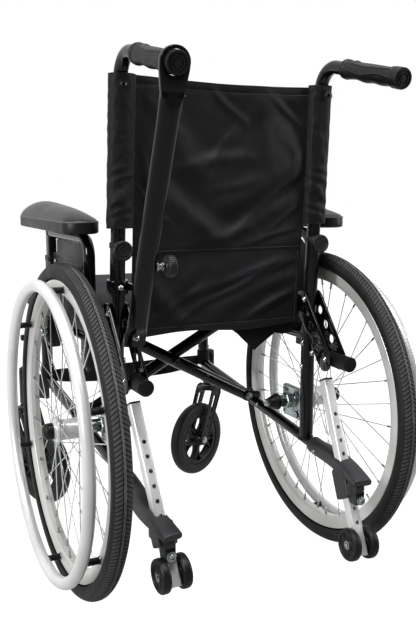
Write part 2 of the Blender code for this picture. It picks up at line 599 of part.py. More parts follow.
def middle():
    cross_arm("cross_arm_a", 1, ARM_A_Y)
    cross_arm("cross_arm_b", -1, ARM_B_Y)
    bolt = lathe([(0.0, 0.0), (0.0085, 0.0), (0.0085, 0.005), (0.0046, 0.0055), (0.0046, 0.0650), (0.0085, 0.0655),
                  (0.0085, 0.0705), (0.0, 0.0705)], (0, -0.1953, CROSS_Z), (0, 1, 0), 10)
    node("cross_bolt", bolt, "black_paint", (0, -0.16, CROSS_Z))
    top = RAIL_Z + RAIL_R
    sling = block((0, -0.2100, top + 0.0019), (0.3960, 0.4900, 0.0030))
    node("seat_sling", sling, "back_cloth", (0, -0.21, top))
    cushion = block((0, -0.2345, top + 0.0212), (0.4200, 0.5500, 0.0348))
    bev = cushion.modifiers.new("round", "BEVEL")
    bev.width = 0.010
    bev.segments = 2
    node("seat_cushion", outward(baked(cushion)), "seat_cloth", (0, -0.23, top))
    # back upholstery: a sheet between the uprights, with a sleeve round each
    z0, z1 = 0.4975, 0.924
    loop = [(upright_y(z0) - 0.0020, z0), (upright_y(z0) + 0.0020, z0), (upright_y(z1) + 0.0020, z1),
            (upright_y(z1) - 0.0020, z1)]
    flat = Matrix(((0, 0, 1, 0), (1, 0, 0, 0), (0, 1, 0, 0), (0, 0, 0, 1)))
    sheet = plate(loop, [], 0.3540, flat)
    sleeves, bores = [], []
    for s in (1, -1):
        a, b = upright(s, 0.674), upright(s, 0.920)
        sleeves.append(rod(a, b, 0.0186, 12, squash=(1.30, 1.0)))
        bores.append(rod(a - lean(s) * 0.02, b + lean(s) * 0.02, 0.0146, 12))
    back = cut(union(sheet, *sleeves), *bores)
    node("back_upholstery", back, "back_cloth", (0, upright_y(0.70), 0.70))
    strap = block((0, FRONT_Y, 0.307), (0.3700, 0.0030, 0.0400))
    node("calf_strap", strap, "back_cloth", (0, FRONT_Y, 0.307))


def stabiliser():
    centre = Vector((upright(1, HANDLE_CORNER_Z).x, *GRIP_START)) + GRIP_DIR * 0.146
    a, b = centre - GRIP_DIR * 0.0070, centre + GRIP_DIR * 0.0070
    eye = rod(a, b, 0.0235, 16)
    low = Vector((0.1985, 0.1600, 0.5000))
    head = centre - Vector((0, 0, 0.0150))
    axis = (low - head).normalized()
    bar = rod(head, low, 0.0165, 12, squash=(1.0, 0.60))
    flat_end = block(None, (0.0320, 0.0070, 0.0440), along(low - axis * 0.014, low + axis * 0.022, (1, 0, 0)))
    bar = cut(union(eye, bar, flat_end), rod(a - GRIP_DIR * 0.01, b + GRIP_DIR * 0.01, 0.0183, 16))
    node("stabiliser_bar", bar, "black_paint", centre)
    t = (head.z - KNOB_Z) / (head.z - low.z)
    at = head + (low - head) * t
    knob = lathe([(0.0, 0.0), (0.0075, 0.0), (0.0075, 0.0090), (0.0055, 0.0095), (0.0055, 0.0140), (0.0120, 0.0150),
                  (0.0180, 0.0185), (0.0180, 0.0310), (0.0, 0.0310)], (at.x - 0.0172, at.y, KNOB_Z), (-1, 0, 0), 14)
    node("stabiliser_knob", knob, "black_plastic", (at.x - 0.0172, at.y, KNOB_Z))
    seat = upright(1, 0.572)
    collar = rod(seat - LEAN * 0.012, seat + LEAN * 0.012, 0.0190, 12)
    reach = block((0.1805, 0.1090, 0.572), (0.0050, 0.0780, 0.0130))
    inner = rod(seat - LEAN * 0.03, seat + LEAN * 0.03, 0.0144, 12)
    node("stabiliser_bracket", cut(union(collar, reach), inner), "black_paint", seat)


for sign, word in ((1, "left"), (-1, "right")):
    side_frame(sign, word)
    axle_mount(sign, word)
    rear_bracket(sign, word)
    push_handle(sign, word)
    rear_wheel(sign, word)
    caster(sign, word)
    armrest(sign, word)
    anti_tip(sign, word)
    wheel_lock(sign, word)
middle()
stabiliser()
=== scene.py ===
"""Folding manual wheelchair: the visual model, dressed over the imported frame."""
import math

import bmesh
import bpy
import numpy as np
from mathutils.bvhtree import BVHTree
from mathutils import Matrix, Vector, noise


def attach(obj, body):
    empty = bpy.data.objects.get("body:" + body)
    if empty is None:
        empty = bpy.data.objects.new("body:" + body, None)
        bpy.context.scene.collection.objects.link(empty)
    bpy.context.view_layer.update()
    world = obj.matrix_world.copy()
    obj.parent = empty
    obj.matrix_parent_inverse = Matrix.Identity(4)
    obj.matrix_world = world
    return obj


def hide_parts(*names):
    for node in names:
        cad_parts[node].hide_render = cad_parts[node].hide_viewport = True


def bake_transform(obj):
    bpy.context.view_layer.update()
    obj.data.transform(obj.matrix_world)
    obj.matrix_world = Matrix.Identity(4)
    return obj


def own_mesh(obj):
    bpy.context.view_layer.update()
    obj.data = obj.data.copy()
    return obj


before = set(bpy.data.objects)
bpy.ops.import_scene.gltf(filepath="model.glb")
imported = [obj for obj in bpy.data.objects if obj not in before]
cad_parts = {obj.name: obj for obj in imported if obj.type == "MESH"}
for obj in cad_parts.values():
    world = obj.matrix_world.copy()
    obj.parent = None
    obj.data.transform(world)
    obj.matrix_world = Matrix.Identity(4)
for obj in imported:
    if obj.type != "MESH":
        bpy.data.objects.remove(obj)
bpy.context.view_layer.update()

YS = 0.0874                 # the model's y is the working y plus this
WORK = bpy.data.collections.new("visual")
bpy.context.scene.collection.children.link(WORK)

# =====================================================================
# materials
# =====================================================================


def new_mat(name, colour, rough, metal=0.0, **sockets):
    m = bpy.data.materials.new(name)
    m.use_nodes = True
    nt = m.node_tree
    b = nt.nodes["Principled BSDF"]
    b.inputs["Base Color"].default_value = (*colour, 1.0)
    b.inputs["Roughness"].default_value = rough
    b.inputs["Metallic"].default_value = metal
    for k, v in sockets.items():
        b.inputs[k.replace("_", " ")].default_value = v
    m.diffuse_color = (*colour, 1.0)
    return m, nt, b


def coord(nt, scale=(1.0, 1.0, 1.0)):
    tc = nt.nodes.new("ShaderNodeTexCoord")
    mp = nt.nodes.new("ShaderNodeMapping")
    mp.inputs["Scale"].default_value = scale
    nt.links.new(tc.outputs["Object"], mp.inputs["Vector"])
    return mp.outputs["Vector"]


def noise_tex(nt, vec, scale, detail=3.0, rough=0.5):
    n = nt.nodes.new("ShaderNodeTexNoise")
    n.inputs["Scale"].default_value = scale
    n.inputs["Detail"].default_value = detail
    n.inputs["Roughness"].default_value = rough
    nt.links.new(vec, n.inputs["Vector"])
    return n.outputs["Fac"]


def ramp(nt, fac, lo, hi, a, b):
    r = nt.nodes.new("ShaderNodeMapRange")
    r.inputs["From Min"].default_value = lo
    r.inputs["From Max"].default_value = hi
    r.inputs["To Min"].default_value = a
    r.inputs["To Max"].default_value = b
    nt.links.new(fac, r.inputs["Value"])
    return r.outputs["Result"]


def mix_colour(nt, fac, c0, c1):
    m = nt.nodes.new("ShaderNodeMix")
    m.data_type = "RGBA"
    m.inputs["A"].default_value = (*c0, 1.0)
    m.inputs["B"].default_value = (*c1, 1.0)
    nt.links.new(fac, m.inputs["Factor"])
    return m.outputs["Result"]


def add_bump(nt, b, height, strength, distance, prev=None):
    n = nt.nodes.new("ShaderNodeBump")
    n.inputs["Strength"].default_value = strength
    n.inputs["Distance"].default_value = distance
    nt.links.new(height, n.inputs["Height"])
    if prev is not None:
        nt.links.new(prev, n.inputs["Normal"])
    nt.links.new(n.outputs["Normal"], b.inputs["Normal"])
    return n.outputs["Normal"]


def math_node(nt, op, a, b=None, value=None):
    n = nt.nodes.new("ShaderNodeMath")
    n.operation = op
    nt.links.new(a, n.inputs[0])
    if b is not None:
        nt.links.new(b, n.inputs[1])
    elif value is not None:
        n.inputs[1].default_value = value
    return n.outputs[0]


def edge_wear(nt):
    g = nt.nodes.new("ShaderNodeNewGeometry")
    return g.outputs["Pointiness"]


def paint_mat(name, base=(0.0026, 0.0026, 0.0028), rough=0.08, worn=(0.012, 0.012, 0.012)):
    m, nt, b = new_mat(name, base, rough, 0.0, Coat_Weight=0.12, Coat_Roughness=0.08, Specular_IOR_Level=0.26)
    v = coord(nt)
    smudge = noise_tex(nt, v, 22.0, 5.0, 0.6)
    nt.links.new(ramp(nt, smudge, 0.35, 0.7, rough * 0.8, rough * 1.7), b.inputs["Roughness"])
    fine = noise_tex(nt, v, 420.0, 2.0)
    wear = ramp(nt, edge_wear(nt), 0.53, 0.62, 0.0, 1.0)
    spot = ramp(nt, noise_tex(nt, v, 160.0, 3.0), 0.45, 0.62, 0.0, 1.0)
    nt.links.new(mix_colour(nt, math_node(nt, "MULTIPLY", wear, spot), base, worn), b.inputs["Base Color"])
    add_bump(nt, b, fine, 0.05, 0.0004)
    return m


def plastic_mat(name, base, rough, grain=900.0, depth=0.00025, strength=0.35, spec=0.5):
    m, nt, b = new_mat(name, base, rough, 0.0, Specular_IOR_Level=spec)
    v = coord(nt)
    big = noise_tex(nt, v, 35.0, 4.0)
    light = tuple(min(1.0, c * 1.5 + 0.001) for c in base)
    nt.links.new(mix_colour(nt, ramp(nt, big, 0.4, 0.75, 0.0, 1.0), base, light), b.inputs["Base Color"])
    nt.links.new(ramp(nt, big, 0.3, 0.7, rough * 0.85, min(1.0, rough * 1.15)), b.inputs["Roughness"])
    add_bump(nt, b, noise_tex(nt, v, grain, 2.0), strength, depth)
    return m


def stipple_mat(name, base, rough, scale, depth):
    m, nt, b = new_mat(name, base, rough, 0.0)
    v = coord(nt)
    vo = nt.nodes.new("ShaderNodeTexVoronoi")
    vo.inputs["Scale"].default_value = scale
    nt.links.new(v, vo.inputs["Vector"])
    nt.links.new(ramp(nt, vo.outputs["Distance"], 0.0, 0.6, rough * 0.8, rough), b.inputs["Roughness"])
    h = ramp(nt, vo.outputs["Distance"], 0.05, 0.55, 1.0, 0.0)
    light = tuple(c * 1.9 + 0.004 for c in base)
    nt.links.new(mix_colour(nt, h, base, light), b.inputs["Base Color"])
    add_bump(nt, b, h, 0.8, depth)
    return m


def metal_mat(name, base, rough, brush=(1.0, 1.0, 1.0), scale=300.0, strength=0.06, tint=None):
    m, nt, b = new_mat(name, base, rough, 1.0)
    v = coord(nt, brush)
    fine = noise_tex(nt, v, scale, 3.0)
    cloud = noise_tex(nt, coord(nt), 14.0, 3.0)
    nt.links.new(ramp(nt, fine, 0.3, 0.7, rough * 0.82, rough * 1.2), b.inputs["Roughness"])
    other = tint or tuple(c * 0.88 for c in base)
    nt.links.new(mix_colour(nt, ramp(nt, cloud, 0.35, 0.7, 0.0, 1.0), base, other), b.inputs["Base Color"])
    add_bump(nt, b, fine, strength, 0.0002)
    return m


def weave_mat(name, base, light, rough, pitch, depth, axes=("X", "Z"), sheen=0.25, twill=False, spots=None):
    """Woven cloth: two sets of threads, their crossings raised, without UVs."""
    m, nt, b = new_mat(name, base, rough, 0.0, Sheen_Weight=sheen, Sheen_Roughness=0.5, Specular_IOR_Level=0.14)
    v = coord(nt)
    sep = nt.nodes.new("ShaderNodeSeparateXYZ")
    nt.links.new(v, sep.inputs[0])
    waves = []
    k = 2 * math.pi / pitch
    for ax in axes:
        a = math_node(nt, "MULTIPLY", sep.outputs[ax], value=k)
        waves.append(math_node(nt, "SINE", a))
    if twill:
        a = math_node(nt, "ADD", sep.outputs[axes[0]], sep.outputs[axes[1]])
        a = math_node(nt, "MULTIPLY", a, value=k)
        h = math_node(nt, "SINE", a)
    else:
        h = math_node(nt, "MULTIPLY", waves[0], waves[1])
    wobble = noise_tex(nt, v, 260.0, 3.0)
    h = math_node(nt, "ADD", ramp(nt, h, -1.0, 1.0, 0.0, 1.0), wobble)
    patch = noise_tex(nt, v, 9.0, 5.0, 0.65)
    f = math_node(nt, "MULTIPLY", ramp(nt, patch, 0.35, 0.72, 0.25, 1.0), ramp(nt, h, 0.5, 1.5, 0.0, 1.0))
    nt.links.new(mix_colour(nt, f, base, light), b.inputs["Base Color"])
    nt.links.new(ramp(nt, patch, 0.3, 0.75, rough * 0.88, min(1.0, rough * 1.1)), b.inputs["Roughness"])
    crease = add_bump(nt, b, noise_tex(nt, v, 70.0, 4.0, 0.6), 0.30, 0.0016)
    add_bump(nt, b, h, 0.55, depth, crease)
    return m


def leather_mat(name, base, light, rough):
    m, nt, b = new_mat(name, base, rough, 0.0, Coat_Weight=0.05, Coat_Roughness=0.35, Specular_IOR_Level=0.30)
    v = coord(nt)
    vo = nt.nodes.new("ShaderNodeTexVoronoi")
    vo.feature = "DISTANCE_TO_EDGE"
    vo.inputs["Scale"].default_value = 520.0
    nt.links.new(v, vo.inputs["Vector"])
    pebble = ramp(nt, vo.outputs["Distance"], 0.0, 0.12, 0.0, 1.0)
    big = noise_tex(nt, v, 16.0, 4.0)
    nt.links.new(mix_colour(nt, ramp(nt, big, 0.35, 0.7, 0.0, 1.0), base, light), b.inputs["Base Color"])
    nt.links.new(ramp(nt, big, 0.3, 0.75, rough * 0.85, rough * 1.2), b.inputs["Roughness"])
    fine = add_bump(nt, b, pebble, 0.22, 0.0003)
    add_bump(nt, b, noise_tex(nt, v, 55.0, 3.0), 0.12, 0.0015, fine)
    return m


PAINT = paint_mat("gloss_black_paint")
BAR_PAINT = paint_mat("gloss_black_bar_paint", worn=(0.0040, 0.0040, 0.0042))
SATIN = paint_mat("satin_black_paint", (0.0040, 0.0040, 0.0044), 0.34, (0.014, 0.014, 0.014))
PLASTIC = plastic_mat("black_moulded_plastic", (0.0050, 0.0050, 0.0054), 0.40, 700.0, 0.0002, 0.3, 0.22)
SHOE_PLASTIC = plastic_mat("textured_dark_plastic", (0.0125, 0.0125, 0.0145), 0.46, 1500.0, 0.0003, 0.55, 0.45)
KNOB = plastic_mat("knob_plastic", (0.0085, 0.0085, 0.0095), 0.38, 1100.0, 0.0002, 0.3, 0.28)
RUBBER = plastic_mat("black_rubber_skin", (0.0030, 0.0030, 0.0033), 0.46, 800.0, 0.0002, 0.4, 0.26)
STIPPLE = stipple_mat("stippled_rubber", (0.0085, 0.0080, 0.0075), 0.62, 1300.0, 0.0005)
TYRE = plastic_mat("tyre_sidewall_rubber", (0.0063, 0.0063, 0.0066), 0.60, 500.0, 0.0003, 0.4, 0.25)
TREAD = plastic_mat("tyre_tread_rubber", (0.034, 0.034, 0.034), 0.78, 260.0, 0.0005, 0.7, 0.25)
RIB = plastic_mat("tyre_centre_rubber", (0.070, 0.070, 0.070), 0.72, 300.0, 0.0004, 0.6, 0.25)
CASTER_RUBBER = plastic_mat("caster_tyre_rubber", (0.0050, 0.0050, 0.0055), 0.5, 700.0, 0.0003, 0.4, 0.25)
SILVER = metal_mat("anodised_silver", (0.70, 0.70, 0.70), 0.34, (1, 1, 1), 500.0, 0.05)
RIM_SILVER = metal_mat("rim_silver", (0.64, 0.63, 0.61), 0.38, (1, 1, 1), 350.0, 0.05)
CHROME = metal_mat("bright_zinc", (0.40, 0.44, 0.44), 0.22, (1, 1, 1), 260.0, 0.08, (0.30, 0.36, 0.36))
SPOKE = metal_mat("spoke_steel", (0.70, 0.73, 0.73), 0.22, (1, 1, 1), 300.0, 0.03)
STEEL = metal_mat("bolt_steel", (0.42, 0.42, 0.42), 0.26, (1, 1, 1), 300.0, 0.05)
NYLON = weave_mat("back_nylon", (0.0045, 0.0045, 0.0054), (0.0088, 0.0088, 0.0106), 0.55, 0.0011, 0.00022, ("X", "Z"), 0.02)
NYLON_DARK = weave_mat("back_inner_nylon", (0.0030, 0.0030, 0.0036), (0.0055, 0.0055, 0.0065), 0.7, 0.0011, 0.00022, ("X", "Z"), 0.0)
SEAT_CLOTH = weave_mat("seat_cover_cloth", (0.014, 0.0135, 0.017), (0.034, 0.033, 0.040), 0.85, 0.0016, 0.0003, ("X", "Y"), 0.02)
SEAT_SIDE = weave_mat("seat_side_cloth", (0.006, 0.006, 0.0075), (0.012, 0.012, 0.015), 0.8, 0.0014, 0.0003, ("Y", "Z"), 0.0)
STRAP = weave_mat("webbing", (0.004, 0.004, 0.0045), (0.010, 0.010, 0.011), 0.7, 0.0018, 0.0003, ("X", "Z"), 0.02)
THREAD = plastic_mat("black_thread", (0.030, 0.030, 0.034), 0.6, 2500.0, 0.0001, 0.4)
LEATHER = leather_mat("arm_pad_leather", (0.0050, 0.0047, 0.0046), (0.009, 0.0082, 0.0080), 0.32)
# piping cord material: its pale colour is a painted highlight standing for the thin light line along the pad's rounded
# piping
PIPING_PAINTED_HIGHLIGHT = plastic_mat("piping_painted_highlight", (0.045, 0.043, 0.041), 0.5, 900.0, 0.0002, 0.3)
for m, amount in ((SILVER, 0.45), (RIM_SILVER, 0.40)):
    m.node_tree.nodes["Principled BSDF"].inputs["Metallic"].default_value = amount


# =====================================================================
# shape helpers (working coordinates; put() adds YS)
# =====================================================================


def put(name, mesh, mats, body, nodes=(), smooth=35.0):
    mesh.transform(Matrix.Translation((0.0, YS, 0.0)))
    mesh.name = name
    ob = bpy.data.objects.new(name, mesh)
    WORK.objects.link(ob)
    mats = mats if isinstance(mats, (list, tuple)) else [mats]
    if len(mesh.materials) == 0:
        for m in mats:
            mesh.materials.append(m)
    mesh.shade_smooth()
    if smooth is not None:
        mesh.set_sharp_from_angle(angle=math.radians(smooth))
    if body:
        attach(ob, body)
    if nodes:
        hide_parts(*nodes)
    return ob


def mesh_of(verts, faces, mat_index=0):
    me = bpy.data.meshes.new("m")
    me.from_pydata([tuple(v) for v in verts], [], faces)
    if mat_index:
        me.polygons.foreach_set("material_index", [mat_index] * len(me.polygons))
    return me


def frame_at(direction, hint=None):
    z = Vector(direction).normalized()
    side = Vector(hint) if hint is not None else (Vector((1, 0, 0)) if abs(z.x) < 0.9 else Vector((0, 1, 0)))
    x = (side - z * side.dot(z)).normalized()
    return x, z.cross(x), z


def placed(origin, direction, hint=None):
    x, y, z = frame_at(direction, hint)
    m = Matrix((x, y, z)).transposed().to_4x4()
    m.translation = Vector(origin)
    return m


def sweep(points, section, sides=16, hint=(1, 0, 0), caps=True, mat_index=0, closed=False):
    """A skin over cross-sections. section(i, t) gives the 2D loop in the local frame, or (a, b) radii."""
    pts = [Vector(p) for p in points]
    n = len(pts)
    verts, faces = [], []
    ups = None
    lengths = [0.0]
    for a, b in zip(pts, pts[1:]):
        lengths.append(lengths[-1] + (b - a).length)
    count = None
    for i, p in enumerate(pts):
        if closed:
            d = (pts[(i + 1) % n] - pts[i - 1]).normalized()
        elif i == 0:
            d = (pts[1] - p).normalized()
        elif i == n - 1:
            d = (p - pts[i - 1]).normalized()
        else:
            d = ((p - pts[i - 1]).normalized() + (pts[i + 1] - p).normalized()).normalized()
        if ups is None:
            x, y, z = frame_at(d, hint)
        else:
            x = (ups - d * ups.dot(d)).normalized()
            y = d.cross(x)
        ups = x
        sec = section(i, lengths[i] / lengths[-1] if lengths[-1] else 0.0)
        if isinstance(sec, (int, float)):
            sec = (sec, sec)
        if isinstance(sec, tuple) and len(sec) == 2 and isinstance(sec[0], (int, float)):
            sec = [(sec[0] * math.cos(2 * math.pi * k / sides), sec[1] * math.sin(2 * math.pi * k / sides)) for k in range(sides)]
        count = len(sec)
        for u, v in sec:
            verts.append(p + x * u + y * v)
    rings = n if closed else n - 1
    for i in range(rings):
        j = (i + 1) % n
        for k in range(count):
            l = (k + 1) % count
            faces.append((i * count + k, i * count + l, j * count + l, j * count + k))
    if caps and not closed:
        faces.append(tuple(range(count - 1, -1, -1)))
        faces.append(tuple((n - 1) * count + k for k in range(count)))
    return mesh_of(verts, faces, mat_index)


def tube(points, r, sides=18, mat_index=0, hint=(1, 0, 0)):
    return sweep(points, lambda i, t: (r, r), sides, hint, True, mat_index)


def fillet(points, radius, steps=8):
    pts = [Vector(p) for p in points]
    out = [pts[0]]
    for a, b, c in zip(pts, pts[1:], pts[2:]):
        u, v = (a - b).normalized(), (c - b).normalized()
        half = u.angle(v) / 2
        cut = radius / math.tan(half)
        centre = b + (u + v).normalized() * (radius / math.sin(half))
        s, e = (b + u * cut - centre).normalized(), (b + v * cut - centre).normalized()
        for i in range(steps + 1):
            out.append(centre + s.slerp(e, i / steps) * radius)
    out.append(pts[-1])
    return out


def smooth_path(points, per=8):
    """Catmull-Rom through the points."""
    p = [Vector(q) for q in points]
    p = [p[0] * 2 - p[1]] + p + [p[-1] * 2 - p[-2]]
    out = []
    for i in range(1, len(p) - 2):
        for k in range(per):
            t = k / per
            out.append(0.5 * ((2 * p[i]) + (p[i + 1] - p[i - 1]) * t + (2 * p[i - 1] - 5 * p[i] + 4 * p[i + 1] - p[i + 2]) * t * t
                              + (3 * p[i] - p[i - 1] - 3 * p[i + 1] + p[i + 2]) * t ** 3))
    out.append(p[-2])
    return out


def lathe(profile, origin, direction, steps=32, mat_index=0, closed=False, hint=None):
    """Profile points (radius, distance along the axis)."""
    m = placed(origin, direction, hint)
    verts, faces, rings = [], [], []
    for r, h in profile:
        if r < 1e-6:
            rings.append([len(verts)])
            verts.append(m @ Vector((0, 0, h)))
        else:
            rings.append(list(range(len(verts), len(verts) + steps)))
            for k in range(steps):
                a = 2 * math.pi * k / steps
                verts.append(m @ Vector((r * math.cos(a), r * math.sin(a), h)))
    pairs = list(zip(rings, rings[1:])) + ([(rings[-1], rings[0])] if closed else [])
    for a, b in pairs:
        for k in range(steps):
            l = (k + 1) % steps
            if len(a) == 1 and len(b) == 1:
                continue
            if len(a) == 1:
                faces.append((a[0], b[l], b[k]))
            elif len(b) == 1:
                faces.append((a[k], a[l], b[0]))
            else:
                faces.append((a[k], a[l], b[l], b[k]))
    me = mesh_of(verts, faces, mat_index)
    bm = bmesh.new()
    bm.from_mesh(me)
    bmesh.ops.recalc_face_normals(bm, faces=bm.faces)
    bm.to_mesh(me)
    bm.free()
    return me


def rounded(profile_pts, radius, steps=3):
    """Rounds the corners of a 2D polyline (for lathe profiles)."""
    out = [profile_pts[0]]
    for a, b, c in zip(profile_pts, profile_pts[1:], profile_pts[2:]):
        A, B, C = Vector((*a, 0)), Vector((*b, 0)), Vector((*c, 0))
        u, v = A - B, C - B
        r = min(radius, u.length * 0.45, v.length * 0.45)
        if u.length < 1e-7 or v.length < 1e-7:
            continue
        u.normalize()
        v.normalize()
        p, q = B + u * r, B + v * r
        for k in range(steps + 1):
            t = k / steps
            w = p * (1 - t) ** 2 + B * 2 * t * (1 - t) + q * t * t
            out.append((w.x, w.y))
    out.append(profile_pts[-1])
    return out


def box(centre, size, bevel=0.0015, matrix=None, mat_index=0, segments=2):
    bm = bmesh.new()
    bmesh.ops.create_cube(bm, size=1.0)
    bmesh.ops.transform(bm, matrix=Matrix.Diagonal((*size, 1.0)), verts=bm.verts)
    if bevel > 0:
        bmesh.ops.bevel(bm, geom=list(bm.edges), offset=bevel, segments=segments, profile=0.5, affect="EDGES", clamp_overlap=True)
    bmesh.ops.transform(bm, matrix=matrix if matrix is not None else Matrix.Translation(Vector(centre)), verts=bm.verts)
    bmesh.ops.recalc_face_normals(bm, faces=bm.faces)
    me = bpy.data.meshes.new("m")
    bm.to_mesh(me)
    bm.free()
    if mat_index:
        me.polygons.foreach_set("material_index", [mat_index] * len(me.polygons))
    return me


def rod(p0, p1, r, sides=16, chamfer=0.0006, mat_index=0):
    p0, p1 = Vector(p0), Vector(p1)
    L = (p1 - p0).length
    c = min(chamfer, r * 0.4, L * 0.3)
    return lathe([(0, 0), (r - c, 0), (r, c), (r, L - c), (r - c, L), (0, L)], p0, p1 - p0, sides, mat_index)


def plate(outline, holes, thick, matrix, bevel=0.0006, mat_index=0):
    cu = bpy.data.curves.new("plate", "CURVE")
    cu.dimensions = "2D"
    cu.fill_mode = "BOTH"
    cu.extrude = thick / 2 - bevel
    cu.bevel_depth = bevel
    cu.bevel_resolution = 1
    cu.offset = -bevel
    for loop in [outline] + list(holes):
        sp = cu.splines.new("POLY")
        sp.points.add(len(loop) - 1)
        for q, p in zip(sp.points, loop):
            q.co = (p[0], p[1], 0.0, 1.0)
        sp.use_cyclic_u = True
    ob = bpy.data.objects.new("plate", cu)
    WORK.objects.link(ob)
    bpy.context.view_layer.update()
    dg = bpy.context.evaluated_depsgraph_get()
    me = bpy.data.meshes.new_from_object(ob.evaluated_get(dg))
    bpy.data.objects.remove(ob, do_unlink=True)
    me.transform(matrix)
    bm = bmesh.new()
    bm.from_mesh(me)
    bmesh.ops.remove_doubles(bm, verts=bm.verts, dist=0.00002)
    bmesh.ops.recalc_face_normals(bm, faces=bm.faces)
    bm.to_mesh(me)
    bm.free()
    me.materials.clear()
    if mat_index:
        me.polygons.foreach_set("material_index", [mat_index] * len(me.polygons))
    return me


YZ = Matrix(((0, 0, 1, 0), (1, 0, 0, 0), (0, 1, 0, 0), (0, 0, 0, 1)))


def arc(cx, cy, r, a0, a1, n):
    return [(cx + r * math.cos(math.radians(a0 + (a1 - a0) * i / n)),
             cy + r * math.sin(math.radians(a0 + (a1 - a0) * i / n))) for i in range(n + 1)]


def circle(cx, cy, r, n=24):
    return [(cx + r * math.cos(2 * math.pi * i / n), cy + r * math.sin(2 * math.pi * i / n)) for i in range(n)]


def stadium(p, q, rp, rq, n=10):
    p, q = Vector(p), Vector(q)
    d = q - p
    turn = math.degrees(math.atan2(d.y, d.x))
    tilt = math.degrees(math.asin((rp - rq) / d.length))
    return (arc(p.x, p.y, rp, turn + 90 - tilt, turn + 270 + tilt, n)
            + arc(q.x, q.y, rq, turn - 90 + tilt, turn + 90 - tilt, n))


def joined(parts):
    """Joins (mesh, material) pairs into one mesh with its material slots."""
    mats, bm = [], bmesh.new()
    for me, m in parts:
        if m not in mats:
            mats.append(m)
        idx = mats.index(m)
        me.polygons.foreach_set("material_index", [idx] * len(me.polygons))
        bm.from_mesh(me)
        bpy.data.meshes.remove(me)
    out = bpy.data.meshes.new("joined")
    bm.to_mesh(out)
    bm.free()
    for m in mats:
        out.materials.append(m)
    return out


def subdivided(me, levels=1):
    ob = bpy.data.objects.new("tmp", me)
    WORK.objects.link(ob)
    mod = ob.modifiers.new("s", "SUBSURF")
    mod.levels = mod.render_levels = levels
    bpy.context.view_layer.update()
    dg = bpy.context.evaluated_depsgraph_get()
    out = bpy.data.meshes.new_from_object(ob.evaluated_get(dg))
    bpy.data.objects.remove(ob, do_unlink=True)
    return out


def drilled(me, cutters):
    ob = bpy.data.objects.new("tmp", me)
    WORK.objects.link(ob)
    bm = bmesh.new()
    for c in cutters:
        bm.from_mesh(c)
        bpy.data.meshes.remove(c)
    cme = bpy.data.meshes.new("cut")
    bm.to_mesh(cme)
    bm.free()
    co = bpy.data.objects.new("cut", cme)
    WORK.objects.link(co)
    mod = ob.modifiers.new("b", "BOOLEAN")
    mod.operation = "DIFFERENCE"
    mod.solver = "EXACT"
    mod.object = co
    bpy.context.view_layer.update()
    dg = bpy.context.evaluated_depsgraph_get()
    out = bpy.data.meshes.new_from_object(ob.evaluated_get(dg))
    bpy.data.objects.remove(ob, do_unlink=True)
    bpy.data.objects.remove(co, do_unlink=True)
    return out


def hex_head(origin, direction, across, height, mat=None):
    r = across / math.sqrt(3)
    c = height * 0.2
    return lathe([(0, 0), (r, 0), (r, height - c), (r * 0.88, height), (r * 0.35, height), (r * 0.3, height * 0.75), (0, height * 0.75)],
                 origin, direction, 6)


def socket_head(origin, direction, r, height):
    """Round screw head with a hexagon socket."""
    prof = rounded([(0, height * 0.45), (r * 0.42, height * 0.45), (r * 0.45, height), (r * 0.92, height), (r, height * 0.75), (r, 0), (0, 0)],
                   r * 0.1, 2)
    return lathe(prof, origin, direction, 24)


def dome_head(origin, direction, r, height):
    prof = [(r * math.cos(a), height * math.sin(a)) for a in [0.0, 0.3, 0.6, 0.9, 1.2]] + [(r * 0.34, height * 0.97), (r * 0.30, height * 0.6), (0, height * 0.55)]
    return lathe([(0, 0), (r, 0)] + prof[1:], origin, direction, 24)


def washer(origin, direction, r_out, r_in, height):
    return lathe(rounded([(r_in, 0), (r_out, 0), (r_out, height), (r_in, height)], height * 0.3, 2), origin, direction, 28, 0, True)


# =====================================================================
# sizes shared with the CAD part
# =====================================================================
FX = 0.200
KNEE = 0.450
L = Vector((0.1963 - 0.200, 0.098 - 0.065, 0.915 - 0.450)).normalized()
PUSH_DIR = Vector((0.0, 0.977, -0.213)).normalized()
GRIP_START = (0.1802, 0.9476)
CORNER_Z = 0.9648
LOW = ((-0.436, 0.3035), (0.1115, 0.2343))
KING = (0.240, -0.472)
TRAIL = 0.050
CASTER_R = 0.093
HEADING = {1: 25.0, -1: -64.5}
ARM_X, ARM_Y, ARM_TUBE_Y = 0.2315, -0.236, 0.020


def upright(s, z):
    if z <= KNEE:
        return Vector((s * FX, 0.065, z))
    t = (z - KNEE) / L.z
    return Vector((s * (FX + L.x * t), 0.065 + L.y * t, z))


def lean(s):
    return Vector((s * L.x, L.y, L.z))


def low_z(y):
    (y0, z0), (y1, z1) = LOW
    return z0 + (y - y0) * (z1 - z0) / (y1 - y0)


SIDES = ((1, "left"), (-1, "right"))

XZ = Matrix(((1, 0, 0, 0), (0, 0, -1, 0), (0, 1, 0, 0), (0, 0, 0, 1)))


def rrect(cx, cy, w, h, r, n=5):
    out = []
    for dx, dy, a in ((1, 1, 0), (-1, 1, 90), (-1, -1, 180), (1, -1, 270)):
        out += arc(cx + dx * (w / 2 - r), cy + dy * (h / 2 - r), r, a, a + 90, n)
    return out


def bead(p, branch, rb, main, rm, thick=0.0016, seed=0.0, n=44):
    """Weld bead where a tube of radius rb runs into a tube of radius rm."""
    b, m = Vector(branch).normalized(), Vector(main).normalized()
    m = (m - b * m.dot(b)).normalized()
    v = b.cross(m)
    pts = []
    for k in range(n):
        a = 2 * math.pi * k / n
        y = rb * math.sin(a)
        up = math.sqrt(max(rm * rm - y * y, 0.0))
        pts.append(Vector(p) + m * (rb * math.cos(a)) + v * y + b * up)
    return sweep(pts, lambda i, t: (thick * (1.0 + 0.16 * math.sin(i * 2.1 + seed)),) * 2, 8, tuple(b), False, 0, True)


